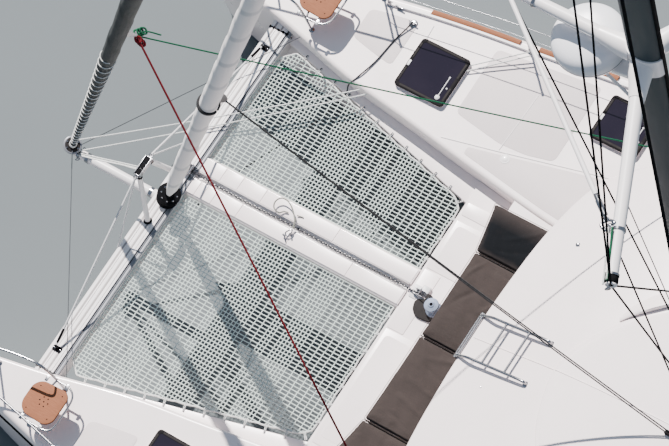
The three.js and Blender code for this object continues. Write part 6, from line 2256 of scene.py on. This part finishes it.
def make_cockpit():
    refine("cockpit_seats", GELCOAT(), 0.015)
    refine("cockpit_table", TEAK(), 0.006)
    seats = [(-5.98, -5.68, -1.46, 1.46), (-5.62, -3.55, 1.04, 1.62)]
    rows = [(0.012, 1.4815), (0, 1.492), (0, 1.528), (0.012, 1.545), (0.04, 1.55)]
    for n, seat in enumerate(seats):
        pad = Shape().slab(box_outline(*seat, 0.05), rows)
        made = pad.make(f"cockpit_cushion_{n + 1}", SEAT_CLOTH(), slot="cushion_cloth")
        blown(made, 0.02, 2.5, 0.012)
        soften(made.data, 70)
    sole = Shape()
    sole.plate(box_outline(-5.6, -2.72, -1.75, 0.98, 0.05), FLOOR_Z, FLOOR_Z + 0.008, 0.003)
    sole.make("cockpit_sole", TEAK_DECK(), slot="teak")


WHEEL_AT = (-3.05, -2.15, 2.15)


def make_helm():
    refine("helm_console", GELCOAT(), 0.02)
    gear = Shape()
    gear.block((-2.90, -2.42, 2.451), (-2.70, -1.88, 2.459), 0.006)
    gear.upright((-2.80, -2.28, 2.455), [(0, 0.055), (0.02, 0.055), (0.06, 0.045), (0.075, 0.03)], 28)
    gear.upright(
        (-2.80, -2.02, 2.455), [(0, 0.035), (0.03, 0.03), (0.09, 0.012), (0.12, 0.02), (0.14, 0.012)], 20,
    )
    gear.make("helm_instruments", BLACK_PLASTIC(), slot="black")
    wheel, rim = Shape(), Shape()

    def on_wheel(t, radius, fore=0.0):
        return np.array(WHEEL_AT) + (fore, radius * math.cos(t), radius * math.sin(t))

    turns = np.linspace(0, 2 * math.pi, 60, endpoint=False)
    rim.tube([on_wheel(t, 0.33) for t in turns], 0.0155, 12, closed=True)
    for k in range(5):
        t = 2 * math.pi * k / 5 + math.pi / 2
        wheel.bent([on_wheel(t, 0.02, 0.02), on_wheel(t, 0.16, 0.012), on_wheel(t, 0.32)], 0.009, 10, 5)
    wheel.turned(
        (-2.952, -2.15, 2.15), (-4, -2.15, 2.15),
        [(0, 0.033), (0.06, 0.033), (0.075, 0.045), (0.112, 0.045), (0.122, 0.03), (0.13, 0.01)], 28,
    )
    wheel.make("helm_spokes", STEEL(), "helm_wheel", "steel", "helm_wheel", 45)
    rim.make("helm_rim", BLACK_PLASTIC(), "helm_wheel", "black", angle=60)


# Drives, propellers and rudders

# A propeller blade's sections: radius, chord and pitch angle
BLADE_ROWS = [
    (0.045, 0.06, 62), (0.08, 0.085, 52), (0.13, 0.115, 40), (0.175, 0.115, 32), (0.205, 0.085, 27),
    (0.222, 0.03, 25),
]


def make_drive(side, name):
    refine(f"engine_{name}", CAST_IRON(), 0.012)
    refine(f"saildrive_{name}", CAST_IRON(), 0.008)
    screw = Shape()
    y = side * 2.95
    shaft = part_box(f"propeller_{name}")
    middle = (shaft[0][2] + shaft[1][2]) / 2
    screw.turned((-4.8604, y, middle), (-6, y, middle), [
        (0, 0.052), (0.004, 0.060), (0.07, 0.060), (0.10, 0.052), (0.135, 0.036), (0.148, 0.018),
        (0.1495, 0.004),
    ], 28)
    for k in range(3):
        base = 2 * math.pi * k / 3 + math.pi / 2
        rows = []
        for r, chord, pitch in BLADE_ROWS:
            a = math.radians(pitch)
            row = []
            for t in np.linspace(0, 2 * math.pi, 14, endpoint=False):
                u, w = chord / 2 * math.cos(t), (0.009 - 0.026 * r) * math.sin(t)
                along_x = u * math.sin(a) + w * math.cos(a)
                swing = (u * math.cos(a) - w * math.sin(a)) / r
                turn = base + swing
                row.append((-4.93 - along_x, y + r * math.cos(turn), middle + r * math.sin(turn)))
            rows.append(row)
        screw.loft(rows)
    screw.make(f"propeller_{name}_blades", BRONZE(), f"propeller_{name}", "bronze", f"propeller_{name}", 45)
    refine(f"rudder_{name}", HULL_SKIN(), 0.004, 50)
    refine(f"engine_lid_{name}", GELCOAT(), 0.014)
    low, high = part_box(f"engine_lid_{name}")
    tread = Shape()
    outline = box_outline(low[0] + 0.1, high[0] - 0.1, low[1] + 0.1, high[1] - 0.1, 0.08, 8)
    tread.plate(outline, high[2] - 0.001, high[2] + 0.004, 0.003)
    tread.make(f"engine_lid_{name}_tread", NONSKID(), f"engine_lid_{name}", "gelcoat")


# Deck details

# Border line between the deck's treads and the panel beside the coachroof: x and y
BORDER_LINE = np.array([(3.43, 2.059), (2.769, 2.21), (1.793, 2.446), (0.6, 2.70), (-1.2, 2.93)])


def border_y(x):
    return float(np.interp(-x, -BORDER_LINE[:, 0], BORDER_LINE[:, 1]))


def deck_panel(shape, side, xs, outer, inner, radius):
    """A thin tread panel between two lines of distances off the centreline."""
    corners = [(x, side * y) for x, y in zip(xs, outer)]
    corners += [(x, side * y) for x, y in zip(xs[::-1], inner[::-1])]
    shape.plate(rounded(corners, radius, 4), DECK_Z - 0.001, DECK_Z + 0.003, 0.002)


def make_deck(side, name):
    """Tread panels with smooth borders between them, fillers, cleats and the fine joints of the foredeck."""
    treads = Shape()
    spans = [(5.02, 4.42), (3.45, 2.15), (1.22, -0.55), (-0.68, -2.35), (-2.48, -4.0)]
    for fore, aft in spans:
        count = max(4, int((fore - aft) / 0.25))
        xs = np.linspace(fore, aft, count)
        inner = [max(station(x)[3] + 0.42, border_y(x) + 0.035) for x in xs]
        if fore < 1.3:
            inner = [2.98 for _ in xs]
        deck_panel(treads, side, xs, [deck_edge(x) - 0.24 for x in xs], inner, 0.07)
    # The panel inboard of the border line, beside the coachroof
    xs = np.linspace(3.10, -1.2, 16)
    inner = [station(x)[3] + 0.09 for x in xs]
    deck_panel(treads, side, xs, [border_y(x) - 0.035 for x in xs], inner, 0.03)
    treads.make(f"deck_treads_{name}", DECK_NONSKID(), slot="gelcoat")
    seams = Shape()
    for line in (
        BORDER_LINE,
        [(2.769, 2.23), (2.74, 2.80), (2.733, 3.007)], [(4.253, 3.183), (4.241, 3.019)],
    ):
        seams.tube([(x, side * y, DECK_Z + 0.001) for x, y in line], 0.0065, 8)
    seams.upright((2.651, side * 2.169, DECK_Z), [
        (0, 0.058), (0.005, 0.058), (0.007, 0.050), (0.005, 0.047), (0.005, 0.043), (0.007, 0.040),
        (0.007, 0.002),
    ], 32)
    seams.make(f"deck_borders_{name}", ALLOY_WHITE(), slot="gelcoat")
    cleats = Shape()
    for x, y in ((4.475, 3.096), (4.716, 3.188)):
        # Low round cleats that fold into the deck, with two posts and a bar
        y *= side
        wide = 0.052 if x < 4.6 else 0.036
        cleats.upright((x, y, DECK_Z), [(0, wide), (0.006, wide), (0.010, wide * 0.85), (0.010, 0.01)], 28)
        for dx in (-0.022, 0.022):
            cleats.rod((x + dx, y, DECK_Z + 0.004), (x + dx, y, DECK_Z + 0.042), 0.009, 12)
        cleats.tube(
            [(x - 0.05, y, DECK_Z + 0.044), (x, y, DECK_Z + 0.042), (x + 0.05, y, DECK_Z + 0.044)], 0.010,
            12,
        )
    for x in (-0.2, -5.65):
        y = side * (deck_edge(x) - 0.20)
        cleats.plate(
            box_outline(x - 0.035, x + 0.035, y - 0.03, y + 0.03, 0.02), DECK_Z, DECK_Z + 0.006, 0.002,
        )
        for dx in (-0.025, 0.025):
            cleats.rod((x + dx, y, DECK_Z + 0.004), (x + dx, y, DECK_Z + 0.045), 0.012, 12)
        horns = [(-0.12, 0.058), (-0.06, 0.05), (0, 0.048), (0.06, 0.05), (0.12, 0.058)]
        cleats.bent([(x + dx, y, DECK_Z + dz) for dx, dz in horns], 0.012, 12, 4)
    cleats.make(f"deck_cleats_{name}", STEEL(), slot="steel")


def line_piece(name, points, radius, paint, steps=6, slot="net"):
    made = Shape().bent(points, radius, 8, steps)
    return made.make(name, paint, slot=slot, angle=60)


def sagging(a, b, sag, count=14):
    a, b = np.asarray(a, float), np.asarray(b, float)
    return [
        tuple(a + (b - a) * t - np.array((0, 0, sag * 4 * t * (1 - t)))) for t in np.linspace(0, 1, count)
    ]


def make_ropes(genoa_clew, gennaker_clew):
    """Sheets, furling lines and guys, all led taut between their fittings."""
    tip = np.asarray(gennaker_clew, float)
    line_piece("sheet_red", sagging(tip, (-1.235, 3.68, 1.80), 0.04), 0.011, RED_ROPE(), slot="black")
    line_piece("sheet_green", sagging(tip, (-1.25, -3.68, 1.80), 0.06), 0.0085, GREEN_ROPE(), slot="black")
    knots = Shape()
    for dx, dz in ((-0.03, -0.02), (-0.06, -0.075), (-0.045, -0.05)):
        c = tip + np.array((dx, 0.02, dz))
        turn = [(0.03, 0, 0.02), (0, 0.03, 0.0), (-0.03, 0.0, -0.02), (0, -0.03, 0.0)]
        knots.bent([c + step for step in turn], 0.012, 8, 5, True)
    knots.make("sheet_red_knot", RED_ROPE(), slot="black", angle=60)
    tail = Shape()
    hanging = [(0, -0.02, 0), (-0.05, -0.09, -0.02), (-0.16, -0.16, -0.12)]
    tail.bent([tip + step for step in hanging], 0.008, 8, 6)
    for k in range(3):
        c = tip + np.array((0.01 - 0.02 * k, -0.03 - 0.025 * k, -0.005))
        turn = [(0.03, 0, 0.03), (0, 0.03, 0), (-0.03, 0, -0.03), (0, -0.03, 0)]
        tail.bent([c + step for step in turn], 0.010, 8, 5, True)
    tail.make("sheet_green_knot", GREEN_ROPE(), slot="black", angle=60)

    # The two genoa sheets run side by side to their blocks on the roof, then part
    clew = np.asarray(genoa_clew, float)
    blocks = Shape()
    for name, y, sag in (("port", 0.086, 0.075), ("starboard", 0.062, 0.073)):
        lead = (-1.03, y, roof_z(-1.03, y) + 0.06)
        sheet = sagging(clew + (0, y * 0.2, 0), lead, sag)
        line_piece(f"genoa_sheet_{name}", sheet, 0.0075, DARK_ROPE(), slot="black")
        tail = [lead, (-1.30, y * 1.5, lead[2] - 0.01), (-1.44, y * 2.2, lead[2] - 0.015)]
        line_piece(f"genoa_tail_{name}", tail, 0.009, DARK_ROPE(), slot="black")
        z = roof_z(-1.03, y)
        blocks.block((-1.09, y - 0.011, z + 0.012), (-0.99, y + 0.011, z + 0.075), 0.01)
    blocks.make("genoa_sheet_blocks", DARK_ALLOY(), slot="black")
    leads = [
        ((7.16, -0.059, 1.622), (3.056, -3.381, 1.76), 0.117),
        ((7.16, 0.064, 1.534), (3.029, -3.339, 1.76), 0.10),
    ]
    for n, (a, b, sag) in enumerate(leads):
        line_piece(f"furling_line_{n + 1}", sagging(a, b, sag), 0.0075, WHITE_ROPE())
    for name, side in SIDES.items():
        guy = [(7.20, side * 0.055, 1.42), (5.55, side * 2.385, 1.62)]
        line_piece(f"sprit_guy_{name}", guy, 0.005, GREY_ROPE(), slot="black")
    cleat = (4.475, -3.096, DECK_Z + 0.05)
    line_piece("bridle_starboard", [
        cleat, (4.50, -3.00, 1.68), (4.55, -2.83, 1.664), (4.60, -2.49, 1.664), (4.68, -2.22, 1.66),
        (4.74, -2.13, 1.60),
        (4.80, -2.08, 1.40), (4.95, -1.75, 1.25), (5.35, -1.0, 1.16), (5.60, -0.50, 1.14),
    ], 0.009, DARK_ROPE(), slot="black")


def make_snubber_loop():
    rope_loop, shackle = Shape(), Shape()
    rope_loop.bent([
        (4.363, -0.377, 1.50), (4.383, -0.451, 1.52), (4.44, -0.522, 1.53), (4.504, -0.578, 1.54),
        (4.585, -0.619, 1.54),
        (4.671, -0.618, 1.53), (4.713, -0.572, 1.52), (4.714, -0.516, 1.51), (4.684, -0.478, 1.50),
        (4.616, -0.470, 1.485),
        (4.581, -0.507, 1.478), (4.53, -0.521, 1.472),
    ], 0.0085, 8, 6)
    rope_loop.bent([
        (4.363, -0.377, 1.50), (4.372, -0.42, 1.512), (4.386, -0.462, 1.52), (4.40, -0.487, 1.524),
    ], 0.0125, 8, 6)
    rope_loop.bent([(4.421, -0.539, 1.475), (4.38, -0.55, 1.466), (4.348, -0.555, 1.466)], 0.007, 8, 5)
    rope_loop.make("snubber_rope", WORN_ROPE(), slot="net", angle=60)
    shackle.bent([
        (4.368, -0.362, 1.50), (4.392, -0.335, 1.502), (4.41, -0.296, 1.498), (4.392, -0.276, 1.492),
        (4.362, -0.296, 1.492), (4.352, -0.335, 1.498),
    ], 0.0085, 10, 5, True)
    shackle.rod((4.43, -0.268, 1.492), (4.40, -0.262, 1.49), 0.012, 12)
    shackle.rod((4.352, -0.318, 1.46), (4.352, -0.304, 1.52), 0.010, 12)
    shackle.bent([(4.40, -0.27, 1.49), (4.385, -0.235, 1.478), (4.36, -0.215, 1.468)], 0.008, 8, 5)
    shackle.make("snubber_shackle", STEEL(), slot="steel")


def build():
    make_camera()
    make_stage()
    for name, side in SIDES.items():
        make_hull(side, name)
        make_net(side, name)
        make_pulpit(side, name)
        for place in HATCHES:
            make_hatch(side, name, place)
        make_lifelines(side, name)
        make_deck(side, name)
        make_drive(side, name)
        make_shroud(side, name)
    make_crossbeam()
    make_longeron()
    make_chain()
    make_bow_roller()
    make_bowsprit()
    make_striker()
    genoa_clew = make_genoa()
    gennaker_clew = make_gennaker()
    make_bridgedeck()
    make_windlass()
    make_cushions()
    make_roof()
    make_saloon()
    make_ladder()
    make_mast()
    make_struts()
    make_rig()
    make_dome()
    make_boom()
    make_sail_bag()
    make_hardtop()
    make_cockpit()
    make_helm()
    make_snubber_loop()
    make_ropes(genoa_clew, gennaker_clew)


build()
